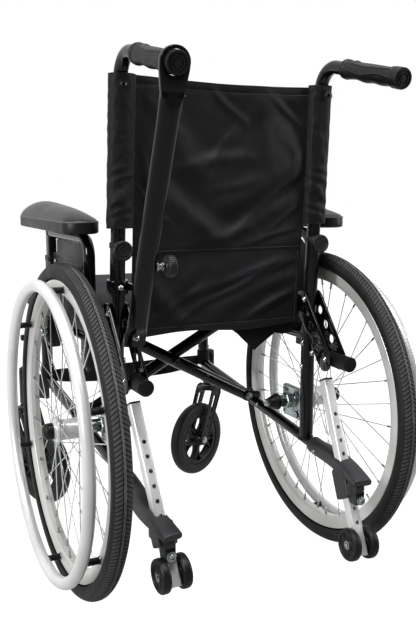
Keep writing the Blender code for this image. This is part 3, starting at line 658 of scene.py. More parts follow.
def ribbed(p0, p1, r, ribs, depth, lip=0.003):
    """A rubber cap with lengthwise ribs and a plain rim at its end."""
    p0, p1 = Vector(p0), Vector(p1)
    length = (p1 - p0).length
    n = ribs * 4

    def ring_of(rad, ribbing):
        out = []
        for k in range(n):
            a = 2 * math.pi * k / n
            rr = rad - (depth * ribbing if k % 4 in (0, 1) else 0.0)
            out.append((rr * math.cos(a), rr * math.sin(a)))
        return out
    spots = [(0.0, r - 0.0012, 0), (0.0010, r - 0.0002, 0), (0.0022, r, 1), (length - lip - 0.0008, r, 1),
             (length - lip, r, 0), (length - 0.0008, r, 0), (length - 0.0001, r - 0.0008, 0), (length, r - 0.0016, 0),
             (length - 0.0004, r - 0.0022, 0), (length - 0.0003, r * 0.5, 0)]
    d = (p1 - p0).normalized()
    pts = [p0 + d * max(h, 0.00001 * i) for i, (h, _, _) in enumerate(spots)]
    rows = [ring_of(rad, rb) for _, rad, rb in spots]
    x, y, z = frame_at(d)
    verts, faces = [], []
    for p, row in zip(pts, rows):
        verts += [p + x * u + y * v for u, v in row]
    for i in range(len(rows) - 1):
        for k in range(n):
            l = (k + 1) % n
            faces.append((i * n + k, i * n + l, (i + 1) * n + l, (i + 1) * n + k))
    faces.append(tuple(range(n - 1, -1, -1)))
    faces.append(tuple((len(rows) - 1) * n + k for k in range(n)))
    return mesh_of(verts, faces)


def knob_mesh(origin, direction, r, height, flutes=26, depth=0.0006):
    """Moulded knob: fluted edge, face sunk in rings."""
    m = placed(origin, direction)
    n = flutes * 4
    prof = [(r * 0.30, 0.0, 0), (r * 0.90, 0.0, 0), (r, height * 0.12, 1), (r, height * 0.80, 1), (r * 0.985, height * 0.86, 0),
            (r * 0.93, height * 0.97, 0), (r * 0.86, height, 0), (r * 0.76, height * 0.985, 0), (r * 0.72, height * 0.90, 0),
            (r * 0.52, height * 0.89, 0), (r * 0.50, height * 0.93, 0), (r * 0.44, height * 0.93, 0), (r * 0.42, height * 0.88, 0),
            (r * 0.10, height * 0.87, 0)]
    verts, faces = [], []
    for rad, h, f in prof:
        for k in range(n):
            a = 2 * math.pi * k / n
            rr = rad - (depth if f and k % 4 in (0, 1) else 0.0)
            verts.append(m @ Vector((rr * math.cos(a), rr * math.sin(a), h)))
    for i in range(len(prof) - 1):
        for k in range(n):
            l = (k + 1) % n
            faces.append((i * n + k, i * n + l, (i + 1) * n + l, (i + 1) * n + k))
    faces.append(tuple(range(n - 1, -1, -1)))
    faces.append(tuple((len(prof) - 1) * n + k for k in range(n)))
    return mesh_of(verts, faces)


def moulded(meshes, voxel=0.0012, passes=6, factor=0.5):
    """Melts rough shapes into one softly rounded moulding."""
    bm = bmesh.new()
    for me in meshes:
        bm.from_mesh(me)
        bpy.data.meshes.remove(me)
    me = bpy.data.meshes.new("rough")
    bm.to_mesh(me)
    bm.free()
    ob = bpy.data.objects.new("tmp", me)
    WORK.objects.link(ob)
    r = ob.modifiers.new("r", "REMESH")
    r.mode = "VOXEL"
    r.voxel_size = voxel
    r.use_smooth_shade = True
    s = ob.modifiers.new("s", "SMOOTH")
    s.factor = factor
    s.iterations = passes
    bpy.context.view_layer.update()
    dg = bpy.context.evaluated_depsgraph_get()
    out = bpy.data.meshes.new_from_object(ob.evaluated_get(dg))
    bpy.data.objects.remove(ob, do_unlink=True)
    return out


# =====================================================================
# side frames
# =====================================================================
def side_frame(s, side):
    x = s * FX
    P = []
    low_dir = Vector((0, LOW[1][0] - LOW[0][0], LOW[1][1] - LOW[0][1])).normalized()
    up = fillet([(x, 0.065, 0.243), (x, 0.065, KNEE), upright(s, 0.645)], 0.20, 6)
    P.append((tube(up, 0.0135, 28), PAINT))
    P.append((rod(upright(s, 0.640), upright(s, 0.915), 0.0128, 28), PAINT))
    P.append((lathe(rounded([(0.0126, 0.0), (0.0150, 0.0), (0.0150, 0.0085), (0.0128, 0.0100)], 0.0010, 3),
                    upright(s, 0.6395), lean(s), 32), PLASTIC))
    P.append((washer(upright(s, 0.9132), lean(s), 0.0133, 0.0123, 0.0046), PLASTIC))
    P.append((tube(fillet([(x, 0.065, 0.455), (x, -0.420, 0.455), (x, -0.420, 0.300)], 0.045, 14), 0.0127, 26), PAINT))
    P.append((rod((x, *LOW[0]), (x, *LOW[1]), 0.0110, 26, 0.001), PAINT))
    P.append((lathe(rounded([(0.0, 0.0), (0.0112, 0.0), (0.0112, 0.0020), (0.0085, 0.0042), (0.0, 0.0050)], 0.0010, 3),
                    (x, LOW[0][0] - 0.0002, LOW[0][1]), -low_dir, 26), PLASTIC))
    P.append((bead((x, 0.065, 0.455), (0, -1, 0), 0.0127, (0, 0, 1), 0.0135, 0.0017, 1), PAINT))
    P.append((bead((x, -0.420, low_z(-0.420)), (0, 0, 1), 0.0127, low_dir, 0.0110, 0.0017, 2), PAINT))
    P.append((bead((x, 0.065, low_z(0.065)), (0, 0, 1), 0.0135, low_dir, 0.0110, 0.0017, 3), PAINT))
    # caster housing on its bracket
    cx, cy = s * KING[0], KING[1]
    d = Vector((cx - x, cy + 0.420, 0.0))
    P.append((lathe(rounded([(0.0, 0.0), (0.0138, 0.0), (0.0138, 0.0040), (0.0155, 0.0042), (0.0155, 0.0800), (0.0138, 0.0802),
                             (0.0138, 0.083)], 0.0006, 2), (cx, cy, 0.232), (0, 0, 1), 36), PAINT))
    P.append((lathe(rounded([(0.0, 0.0905), (0.0100, 0.0900), (0.0150, 0.0865), (0.0150, 0.0806), (0.012, 0.0806)], 0.0014, 4),
                    (cx, cy, 0.232), (0, 0, 1), 36), PLASTIC))
    turn = Matrix.Translation(Vector(((cx + x) / 2, (cy - 0.420) / 2, 0.280))) @ Matrix.Rotation(math.atan2(d.y, d.x), 4, "Z")
    P.append((box(None, (d.length, 0.0100, 0.0560), 0.0018, turn), PAINT))
    side_way = Vector((-d.y, d.x, 0)).normalized()
    for k in (-1, 1):
        for z in (0.266, 0.294):
            at = Vector(((cx + x) / 2, (cy - 0.420) / 2, z)) + d.normalized() * (0.006 if z > 0.28 else -0.004) + side_way * (0.0050 * k)
            P.append((socket_head(at, side_way * k, 0.0050, 0.0032), CHROME))
    for k in (-1, 1):
        for end, rad in (((x, -0.420), 0.0127), ((cx, cy), 0.0155)):
            way = (d.normalized() if end[0] == x else -d.normalized())
            at = Vector((*end, 0.0)) + way * (rad * 0.93) + side_way * (0.0046 * k)
            pts = [Vector((at.x, at.y, 0.2535 + 0.0530 * i / 12)) for i in range(13)]
            P.append((sweep(pts, lambda i, t: (0.0021 + 0.0003 * (i % 2),) * 2, 8), PAINT))
    # leg-rest receiver: sleeve with a spring button
    px, py = x + d.x * 0.62, -0.420 + d.y * 0.62
    P.append((lathe(rounded([(0.0, 0.0), (0.0072, 0.0), (0.0072, 0.0270), (0.0052, 0.0275), (0.0052, 0.0300), (0.0062, 0.0305),
                             (0.0062, 0.0375), (0.0040, 0.0400), (0.0, 0.0402)], 0.0008, 3), (px, py, 0.300), (0, 0, 1), 28), PLASTIC))
    # sockets for the armrest
    for cy2, deep, hole in ((ARM_Y, 0.044, rrect(s * ARM_X, ARM_Y, 0.0224, 0.0314, 0.002, 3)),
                            (ARM_TUBE_Y, 0.034, circle(s * ARM_X, ARM_TUBE_Y, 0.0114, 28))):
        outline = rrect(s * 0.2275, cy2, 0.039, deep, 0.006, 5)
        P.append((plate(outline, [hole], 0.050, Matrix.Translation(Vector((0, 0, 0.450))), 0.0012), PLASTIC))
        P.append((plate(rrect(s * 0.2275, cy2, 0.0405, deep + 0.0015, 0.0068, 5), [hole], 0.0040,
                        Matrix.Translation(Vector((0, 0, 0.4722))), 0.0010), PLASTIC))
        P.append((socket_head((s * 0.2468, cy2, 0.447), (s, 0, 0), 0.0058, 0.0036), CHROME))
        P.append((washer((s * 0.2462, cy2, 0.447), (s, 0, 0), 0.0078, 0.003, 0.0012), CHROME))
    # saddles that carry the seat rails
    for y in (-0.300, -0.040):
        prof = [(s * 0.1827, 0.4560), (s * 0.1983, 0.4560), (s * 0.1983, 0.4712)]
        prof += [(s * (0.190 + 0.0120 * math.sin(math.radians(a))), 0.482 - 0.0120 * math.cos(math.radians(a))) for a in (26, 14, 0, -14, -26)]
        prof += [(s * 0.1827, 0.4712)]
        P.append((plate(prof, [], 0.030, Matrix.Translation(Vector((0, y, 0))) @ XZ, 0.0006), PLASTIC))
        P.append((socket_head((s * 0.1835, y, 0.4605), (-s, 0, 0), 0.0030, 0.0022), CHROME))
    # lugs and bolt of the cross arm
    arm_y = -0.175 if s > 0 else -0.145
    for k in (-1, 1):
        P.append((plate(stadium((s * PIV_X, PIV_Z), (s * 0.1930, PIV_Z), 0.0100, 0.0100, 8), [], 0.0040,
                        Matrix.Translation(Vector((0, arm_y + k * 0.0155, 0))) @ XZ, 0.0006), PAINT))
        P.append((hex_head((s * PIV_X, arm_y + k * 0.0174, PIV_Z), (0, k, 0), 0.0110, 0.0046), CHROME))
        P.append((washer((s * PIV_X, arm_y + k * 0.0172, PIV_Z), (0, k, 0), 0.0082, 0.0040, 0.0011), CHROME))
    P.append((rod((s * PIV_X, arm_y - 0.0165, PIV_Z), (s * PIV_X, arm_y + 0.0165, PIV_Z), 0.0045, 20), CHROME))
    # bolts down the upright, as on the real tube
    for z, r in ((0.4380, 0.0062), (0.3900, 0.0048)):
        P.append((dome_head(Vector((x, 0.065, z)) + Vector((-s * 0.0133, 0, 0)), (-s, 0, 0), r, 0.0042), CHROME))
    P.append((dome_head((x - s * 0.0105, -0.120, low_z(-0.120) + 0.004), (-s, 0, 0.3), 0.0050, 0.0036), CHROME))
    put(side + "_side_frame_v", joined(P), [PAINT], side + "_frame", (side + "_side_frame",))


PIV_X, PIV_Z = 0.174, 0.285
CROSS_Z = PIV_Z + PIV_X * (0.482 - PIV_Z) / (0.190 + PIV_X)


def axle_mount(s, side):
    P = []
    outline = rrect(0.0145, 0.305, 0.073, 0.066, 0.009, 6)
    P.append((plate(outline, [circle(-0.0135, 0.329, 0.0033, 14), circle(-0.0135, 0.281, 0.0033, 14)], 0.0068,
                    Matrix.Translation(Vector((s * 0.2, 0, 0))) @ YZ, 0.0010), CHROME))
    for k in (-1, 1):
        for z in (0.284, 0.326):
            P.append((hex_head((s * 0.2 + k * 0.0034, 0.038, z), (k, 0, 0), 0.0125, 0.0064), CHROME))
            P.append((washer((s * 0.2 + k * 0.0033, 0.038, z), (k, 0, 0), 0.0092, 0.0040, 0.0013), CHROME))
    # sleeve with its two big nuts, cone and end nut inboard
    P.append((lathe(rounded([(0.0, 0.0), (0.0125, 0.0), (0.0125, 0.0740), (0.0, 0.0740)], 0.0008, 2), (s * 0.1700, 0, 0.305), (s, 0, 0), 36), CHROME))
    for at, way in ((0.1958, -1), (0.2042, 1)):
        P.append((hex_head((s * at, 0, 0.305), (s * way, 0, 0), 0.0290, 0.0085), CHROME))
    P.append((hex_head((s * 0.1505, 0, 0.305), (-s, 0, 0), 0.0140, 0.0085), CHROME))
    P.append((lathe(rounded([(0.0, 0.0072), (0.0098, 0.0072), (0.0104, 0.0100), (0.0155, 0.0215), (0.0165, 0.0240), (0.0165, 0.0300), (0.0, 0.0310)],
                            0.0012, 3), (s * 0.1420, 0, 0.305), (s, 0, 0), 40), RUBBER))
    P.append((rod((s * 0.2400, 0, 0.305), (s * 0.2998, 0, 0.305), 0.0066, 24), STEEL))
    put(side + "_axle_mount_v", joined(P), [CHROME], side + "_frame", (side + "_axle_mount",))


def rear_bracket(s, side):
    P = []
    top, end = Vector((0.068, 0.522)), Vector((0.150, 0.420))
    outline = stadium(top, end, 0.0212, 0.0212, 14)
    spots = [top + (end - top) * t for t in (0.17, 0.42, 0.67)]
    holes = [circle(p.x, p.y, 0.0083, 26) for p in spots]
    for px in (0.1826, 0.2165):
        P.append((plate(outline, holes, 0.0040, Matrix.Translation(Vector((s * px, 0, 0))) @ YZ, 0.0009), PAINT))
        for p in (Vector((0.0790, 0.5270)), Vector((0.1090, 0.4260)), Vector((0.1540, 0.4225))):
            for k in (-1, 1):
                if (k * px > 0) == (px > 0.2):
                    pass
                at = (s * px + k * 0.0019, p.x, p.y)
                inner = (k * s > 0) == (px < 0.2)
                if not inner:
                    P.append((dome_head(at, (k, 0, 0), 0.0056, 0.0042), STEEL))
    P.append((rod((s * 0.1830, 0.138, 0.424), (s * 0.2170, 0.138, 0.424), 0.0085, 26), PAINT))
    P.append((rod((s * 0.2, 0.138, 0.421), (s * 0.2, 0.1535, 0.421), 0.0100, 26), PAINT))
    put(side + "_rear_bracket_v", joined(P), [PAINT], side + "_frame", (side + "_rear_bracket",))
    cap = ribbed((s * 0.2, 0.1524, 0.421), (s * 0.2, 0.2092, 0.421), 0.0140, 26, 0.0008)
    put(side + "_tip_lever_cap_v", joined([(cap, RUBBER)]), [RUBBER], side + "_frame", (side + "_tip_lever_cap",), 40)


# =====================================================================
# push handles
# =====================================================================
def grip_mesh(x, s):
    """Moulded grip: front flange, raised contour lines round a stippled panel, end disc."""
    m = placed((x, *GRIP_START), PUSH_DIR, (1, 0, 0))
    if (m.to_3x3() @ Vector((0, 1, 0))).z < 0:
        m = m @ Matrix.Rotation(math.pi, 4, "Z")
    n, rows = 96, 150
    length = 0.158
    verts, faces, mats = [], [], []

    def radius(t, a):
        """a: 90 degrees points up."""
        up = math.sin(a)
        z = t * length
        r = 0.0152
        if z < 0.006:
            r = 0.0172
        elif z < 0.010:
            r = 0.0172 - 0.0020 * (z - 0.006) / 0.004
        swell = math.exp(-((t - 0.52) / 0.28) ** 2)
        r += 0.0014 * swell * (0.4 + 0.6 * max(0.0, -up)) if 0.010 <= z <= 0.142 else 0.0
        # finger waves underneath
        if 0.03 < t < 0.9 and up < 0:
            r += 0.0009 * (-up) * math.sin(t * 2 * math.pi * 3.2)
        # panel on top: contour ridge and sunk field
        ang = abs(math.degrees(math.atan2(math.cos(a), up)))
        w = 62.0 - 16.0 * abs(t - 0.45) / 0.45
        d = min((w - ang) / 14.0, (t - 0.15) / 0.045, (0.86 - t) / 0.045)
        panel = 0
        if 0.12 < t < 0.90:
            if d > 1.0:
                r -= 0.0005
                panel = 1
            elif d > 0.0:
                r += 0.0016 * math.sin(math.pi * min(1.0, d)) - 0.0010 * math.exp(-((d - 0.92) / 0.10) ** 2)
        w2 = 96.0 - 10.0 * math.cos(t * 9.0)
        d2 = 1.0 - abs(ang - w2) / 7.0
        if 0.10 < t < 0.92 and d2 > 0:
            r += 0.0012 * d2
        if z > 0.1350:
            r = 0.0146 if z < 0.1390 else 0.0176
            panel = 0
        if z > 0.1562:
            r = 0.0168
        return r, panel
    ts = [i / rows for i in range(rows + 1)]
    for t in ts:
        for k in range(n):
            a = 2 * math.pi * k / n
            r, _ = radius(t, a)
            verts.append(m @ Vector((r * math.cos(a), r * math.sin(a), t * length)))
    for i in range(rows):
        for k in range(n):
            l = (k + 1) % n
            faces.append((i * n + k, i * n + l, (i + 1) * n + l, (i + 1) * n + k))
            mats.append(radius(ts[i], 2 * math.pi * (k + 0.5) / n)[1])
    base = len(verts)
    rings = [(0.0140, 0.1580), (0.0138, 0.1568), (0.0112, 0.1568), (0.0110, 0.1580), (0.0092, 0.1580), (0.0090, 0.1568),
             (0.0062, 0.1568), (0.0060, 0.1579), (0.0020, 0.1581)]
    last = rows * n
    for r, h in rings:
        ring = len(verts)
        for k in range(n):
            a = 2 * math.pi * k / n
            verts.append(m @ Vector((r * math.cos(a), r * math.sin(a), h)))
        for k in range(n):
            l = (k + 1) % n
            faces.append((last + k, last + l, ring + l, ring + k))
            mats.append(0)
        last = ring
    faces.append(tuple(last + k for k in range(n)))
    mats.append(0)
    faces.append(tuple(range(n - 1, -1, -1)))
    mats.append(0)
    me = mesh_of(verts, faces)
    me.polygons.foreach_set("material_index", mats)
    me.materials.append(RUBBER)
    me.materials.append(STIPPLE)
    return me


def push_handle(s, side):
    corner = upright(s, CORNER_Z)
    x = corner.x
    end = Vector((x, *GRIP_START)) + PUSH_DIR * 0.141
    path = fillet([upright(s, 0.528), corner, end], 0.042, 20)
    P = [(tube(path, 0.0121, 28), PAINT)]
    put(side + "_handle_post_v", joined(P), [PAINT], side + "_handle", (side + "_handle_post",))
    put(side + "_grip_v", grip_mesh(x, s), [RUBBER], side + "_handle", (side + "_grip",), 50)
    ky = upright(s, 0.636).y + 0.0135 + 0.0018
    kx = upright(s, 0.636).x
    K = [(knob_mesh((kx, ky + 0.0026, 0.636), (0, 1, 0), 0.0175, 0.0124, 24, 0.0004), KNOB),
         (rod((kx, ky - 0.0010, 0.636), (kx, ky + 0.0036, 0.636), 0.0072, 24), STEEL)]
    put(side + "_height_knob_v", joined(K), [KNOB], side + "_height_lock", (side + "_height_knob",), 40)
    way = Vector((s * 0.087, 0.996, 0.0)).normalized()
    at = upright(s, 0.908) + way * 0.0215
    S = [(washer(at - way * 0.0004, way, 0.0093, 0.0030, 0.0022), KNOB),
         (dome_head(at + way * 0.0014, way, 0.0060, 0.0034), PAINT)]
    put(side + "_back_screw_v", joined(S), [PAINT], side + "_frame", (side + "_back_screw",))


# =====================================================================
# rear wheels
# =====================================================================
def tyre_mesh(c):
    R, r0, N = 0.2875, 0.0175, 240
    cols = [0.0, 0.05, 0.21, 0.26, 0.62]
    pos = [9.0, 12.5, 14.0, 26.0, 38.0, 46.0, 49.0, 52.0, 57.0, 64.0, 78.0, 95.0, 112.0, 128.0]
    psis = [-p for p in reversed(pos)] + [-8.0, -3.0, 3.0, 8.0] + pos
    verts, faces, mats = [], [], []
    per = len(cols)
    nu, nv = N * per, len(psis)
    for k in range(nu):
        for psi in psis:
            a = abs(psi)
            col = cols[k % per]
            step = k // per + col
            shift = 0.0
            if a >= 12.5:
                shift = 0.85 * min(1.0, (a - 12.5) / 34.0)
            if psi < 0:
                shift += 0.5
            th = 2 * math.pi * (step + shift) / N
            h = 0.0
            groove = k % per in (1, 2)
            if 8.0 < a <= 12.5:
                h = -0.0013 if a > 9.5 else -0.0006
            elif 12.5 < a <= 49.0:
                h = -0.0016 if groove else 0.0
            elif a <= 52.0:
                h = -0.0012 if groove else -0.0002
            elif a <= 57.0:
                h = -0.0007
            elif a <= 78.0:
                h = -0.0003
            elif a <= 95.0:
                h = -0.0006
            q = math.radians(psi)
            rad = R + (r0 + h) * math.cos(q)
            x = (r0 + h) * math.sin(q) * 1.0
            verts.append(c + Vector((x, rad * math.sin(th), rad * math.cos(th))))
    for k in range(nu):
        k2 = (k + 1) % nu
        for j in range(nv - 1):
            faces.append((k * nv + j, k2 * nv + j, k2 * nv + j + 1, k * nv + j + 1))
            a = abs((psis[j] + psis[j + 1]) / 2)
            if a < 8.5:
                mats.append(2)
            elif 12.5 < a < 52.0 and k % per not in (0, 1, 2):
                mats.append(1)
            else:
                mats.append(0)
    me = mesh_of(verts, faces)
    me.polygons.foreach_set("material_index", mats)
    bm = bmesh.new()
    bm.from_mesh(me)
    bmesh.ops.recalc_face_normals(bm, faces=bm.faces)
    bm.to_mesh(me)
    bm.free()
    for m in (TYRE, TREAD, RIB):
        me.materials.append(m)
    return me


def rear_wheel(s, side):
    body = side + "_rear_wheel"
    c = Vector((s * 0.272, 0, 0.305))
    put(side + "_tyre_v", tyre_mesh(c), [TYRE], body, (side + "_tyre",), 32)
    prof = [(0.2500, -0.0045), (0.2500, -0.0076), (0.2512, -0.0092), (0.2540, -0.0104), (0.2600, -0.0115), (0.2690, -0.0119),
            (0.2735, -0.0121), (0.2744, -0.0114), (0.2738, -0.0104), (0.2700, -0.0102), (0.2688, -0.0090),
            (0.2688, 0.0090), (0.2700, 0.0102), (0.2738, 0.0104), (0.2744, 0.0114), (0.2735, 0.0121), (0.2690, 0.0119),
            (0.2600, 0.0115), (0.2540, 0.0104), (0.2512, 0.0092), (0.2500, 0.0076), (0.2500, 0.0045), (0.2494, 0.0030), (0.2494, -0.0030)]
    put(side + "_rim_v", joined([(lathe(prof, c, (s, 0, 0), 200, 0, True), RIM_SILVER)]), [RIM_SILVER], body, (side + "_rim",), 30)
    P = []
    barrel = rounded([(0.0078, 0.0300), (0.0078, -0.0265), (0.0190, -0.0262), (0.0246, -0.0244), (0.0250, -0.0236), (0.0250, -0.0212),
                      (0.0244, -0.0205), (0.0200, -0.0198), (0.0190, -0.0180), (0.0190, 0.0180), (0.0200, 0.0198), (0.0244, 0.0205),
                      (0.0250, 0.0212), (0.0250, 0.0236), (0.0246, 0.0244), (0.0190, 0.0258), (0.0160, 0.0262), (0.0158, 0.0300)], 0.0005, 2)
    P.append((lathe(barrel, c, (s, 0, 0), 56, 0, True), SILVER))
    P.append((lathe(rounded([(0.0, 0.0490), (0.0070, 0.0484), (0.0138, 0.0440), (0.0152, 0.0390), (0.0152, 0.0262), (0.0, 0.0262)], 0.0018, 4),
                    c, (s, 0, 0), 44), PLASTIC))
    P.append((lathe(rounded([(0.0079, -0.0300), (0.0130, -0.0300), (0.0135, -0.0262), (0.0079, -0.0262)], 0.0008, 2), c, (s, 0, 0), 32, 0, True), STEEL))
    for k in range(36):
        flange = 1 if k % 2 else -1
        lead = 1 if (k // 2) % 2 else -1
        rim_a = 2 * math.pi * k / 36
        hub_a = rim_a + lead * math.radians(64)
        a = c + Vector((s * (flange * 0.0225 + lead * 0.0022), 0.0226 * math.cos(hub_a), 0.0226 * math.sin(hub_a)))
        b = c + Vector((s * (flange * 0.0030 + lead * 0.0010), 0.2486 * math.cos(rim_a), 0.2486 * math.sin(rim_a)))
        P.append((rod(a, b, 0.00098, 8, 0.0002), SPOKE))
        d = (b - a).normalized()
        P.append((lathe([(0, 0), (0.0014, 0), (0.0020, 0.0010), (0.0020, 0.0110), (0.0026, 0.0112), (0.0026, 0.0140), (0, 0.0145)],
                        b - d * 0.0125, d, 10), CHROME))
        head = c + Vector((s * flange * 0.0242, 0.0226 * math.cos(hub_a), 0.0226 * math.sin(hub_a)))
        P.append((rod(head - Vector((s * flange * 0.0040, 0, 0)), head + Vector((s * flange * 0.0012, 0, 0)), 0.0019, 10, 0.0004), CHROME))
    put(side + "_hub_and_spokes_v", joined(P), [CHROME], body, (side + "_hub_and_spokes",), 40)
    P = []
    hoop = [Vector((s * 0.3164, 0.265 * math.sin(a), 0.305 + 0.265 * math.cos(a))) for a in [2 * math.pi * i / 160 for i in range(160)]]
    P.append((sweep(hoop, lambda i, t: (0.0106, 0.0112), 28, (1, 0, 0), False, 0, True), SILVER))
    for k in range(6):
        a = math.radians(60 * k + 22)
        p = Vector((0, 0.2635 * math.cos(a), 0.305 + 0.2635 * math.sin(a)))
        P.append((lathe(rounded([(0.0, 0.0), (0.0058, 0.0), (0.0058, 0.0270), (0.0050, 0.0282), (0.0, 0.0282)], 0.0005, 2),
                        p + Vector((s * 0.2838, 0, 0)), (s, 0, 0), 20), PLASTIC))
        P.append((lathe(rounded([(0.0, 0.0), (0.0074, 0.0), (0.0074, 0.0020), (0.0, 0.0022)], 0.0004, 2), p + Vector((s * 0.2838, 0, 0)), (s, 0, 0), 20), STEEL))
        for j in range(5):
            P.append((washer(p + Vector((s * (0.2880 + 0.0048 * j), 0, 0)), (s, 0, 0), 0.0062, 0.0050, 0.0016), PLASTIC))
    put(side + "_push_rim_v", joined(P), [SILVER], body, (side + "_push_rim",), 40)


# =====================================================================
# casters
# =====================================================================
def caster(s, side):
    kx, ky = s * KING[0], KING[1]
    turn = Matrix.Translation(Vector((kx, ky, 0))) @ Matrix.Rotation(math.radians(HEADING[s]), 4, "Z")

    def w(x, y, z):
        return turn @ Vector((x, y, z))
    P = []
    P.append((lathe(rounded([(0.0, 0.0), (0.0270, 0.0), (0.0290, 0.0020), (0.0290, 0.0052), (0.0240, 0.0075), (0.0165, 0.0085),
                             (0.0158, 0.0138), (0.0120, 0.0148), (0.0, 0.0148)], 0.0010, 3), w(0, 0, 0.2168), (0, 0, 1), 44), PLASTIC))
    P.append((washer(w(0, 0, 0.2262), Vector((0, 0, 1)), 0.0166, 0.0120, 0.0018), STEEL))
    u = Vector((TRAIL, CASTER_R - 0.216))
    outline = stadium((0.0, 0.2105), (TRAIL, CASTER_R), 0.0175, 0.0135, 16)
    slot = stadium((u.x * 0.14, 0.216 + u.y * 0.14), (u.x * 0.42, 0.216 + u.y * 0.42), 0.0042, 0.0034, 8)
    spares = [circle(u.x * 0.56, 0.216 + u.y * 0.56, 0.0030, 14), circle(u.x * 0.72, 0.216 + u.y * 0.72, 0.0030, 14)]
    for px in (-0.0250, 0.0250):
        P.append((plate(outline, [slot] + spares, 0.0044, turn @ Matrix.Translation(Vector((px, 0, 0))) @ YZ, 0.0011), PLASTIC))
        k = 1 if px > 0 else -1
        ax = turn.to_3x3() @ Vector((k, 0, 0))
        # raised rim along each arm's edge
        inner = stadium((0.0, 0.2105), (TRAIL, CASTER_R), 0.0142, 0.0102, 16)
        P.append((plate(outline, [inner], 0.0016, turn @ Matrix.Translation(Vector((px + k * 0.0027, 0, 0))) @ YZ, 0.0005), PLASTIC))
        P.append((washer(w(px + k * 0.0021, TRAIL, CASTER_R), ax, 0.0086, 0.0040, 0.0016), STEEL))
        P.append((hex_head(w(px + k * 0.0034, TRAIL, CASTER_R), ax, 0.0110, 0.0034), STEEL))
    P.append((rod(w(-0.0270, TRAIL, CASTER_R), w(0.0270, TRAIL, CASTER_R), 0.0044, 20), STEEL))
    top = box(None, (0.0540, 0.0330, 0.0080), 0.0030, turn @ Matrix.Translation(Vector((0, 0.0, 0.2190))))
    P.append((top, PLASTIC))
    put(side + "_caster_fork_v", joined(P), [PLASTIC], side + "_caster_swivel", (side + "_caster_fork",))
    c, ax = w(0, TRAIL, CASTER_R), turn.to_3x3() @ Vector((1, 0, 0))
    prof = rounded([(0.0672, -0.0132), (0.0780, -0.0140), (0.0868, -0.0132), (0.0915, -0.0085), (0.0930, -0.0030), (0.0930, 0.0030),
                    (0.0915, 0.0085), (0.0868, 0.0132), (0.0780, 0.0140), (0.0672, 0.0132), (0.0672, -0.0132)], 0.0035, 4)
    P = [(lathe(prof[:-1], c, ax, 120, 0, True), CASTER_RUBBER)]
    for k in (-1, 1):
        P.append((lathe([(0.0735, k * 0.0136), (0.0735, k * 0.0143), (0.0745, k * 0.0145), (0.0755, k * 0.0143), (0.0755, k * 0.0136)], c, ax, 120), CASTER_RUBBER))
    put(side + "_caster_tyre_v", joined(P), [CASTER_RUBBER], side + "_caster_roller", (side + "_caster_tyre",))
    P = []
    P.append((lathe(rounded([(0.0566, -0.0118), (0.0664, -0.0118), (0.0664, 0.0118), (0.0566, 0.0118), (0.0590, 0.0060), (0.0590, -0.0060), (0.0566, -0.0118)],
                            0.0012, 2)[:-1], c, ax, 120, 0, True), PLASTIC))
    P.append((lathe(rounded([(0.0056, -0.0200), (0.0155, -0.0200), (0.0168, -0.0160), (0.0190, -0.0120), (0.0190, 0.0120), (0.0168, 0.0160),
                             (0.0155, 0.0200), (0.0056, 0.0200)], 0.0010, 2), c, ax, 44, 0, True), PLASTIC))
    P.append((lathe(rounded([(0.0056, -0.0204), (0.0110, -0.0204), (0.0110, 0.0204), (0.0056, 0.0204)], 0.0004, 2), c, ax, 30, 0, True), STEEL))
    for k in range(5):
        a0 = math.radians(72 * k + 40)
        for j in (-1, 1):
            # each spoke is a pair of ribs that spread towards the rim
            pts = []
            for i in range(9):
                t = i / 8
                rr = 0.0160 + 0.0430 * t
                aa = a0 + j * math.radians(3.0 + 11.0 * t * t)
                pts.append(w(0, TRAIL, CASTER_R) + turn.to_3x3() @ Vector((0, -rr * math.sin(aa), rr * math.cos(aa))))

            def sec(i, t, j=j):
                half = 0.0108 - 0.0022 * math.sin(math.pi * t)
                th = 0.0034 - 0.0008 * t
                return [(half, -th + 0.0008), (half - 0.0008, -th), (-half + 0.0008, -th), (-half, -th + 0.0008),
                        (-half, th - 0.0008), (-half + 0.0008, th), (half - 0.0008, th), (half, th - 0.0008)]
            P.append((sweep(pts, sec, 8, tuple(ax)), PLASTIC))
        pts = [w(0, TRAIL, CASTER_R) + turn.to_3x3() @ Vector((0, -rr * math.sin(a0), rr * math.cos(a0))) for rr in (0.0165, 0.030, 0.044, 0.0585)]
        P.append((sweep(pts, lambda i, t: (0.0030, 0.0075 + 0.0035 * t), 10, tuple(ax)), PLASTIC))
    put(side + "_caster_wheel_v", joined(P), [PLASTIC], side + "_caster_roller", (side + "_caster_wheel",))


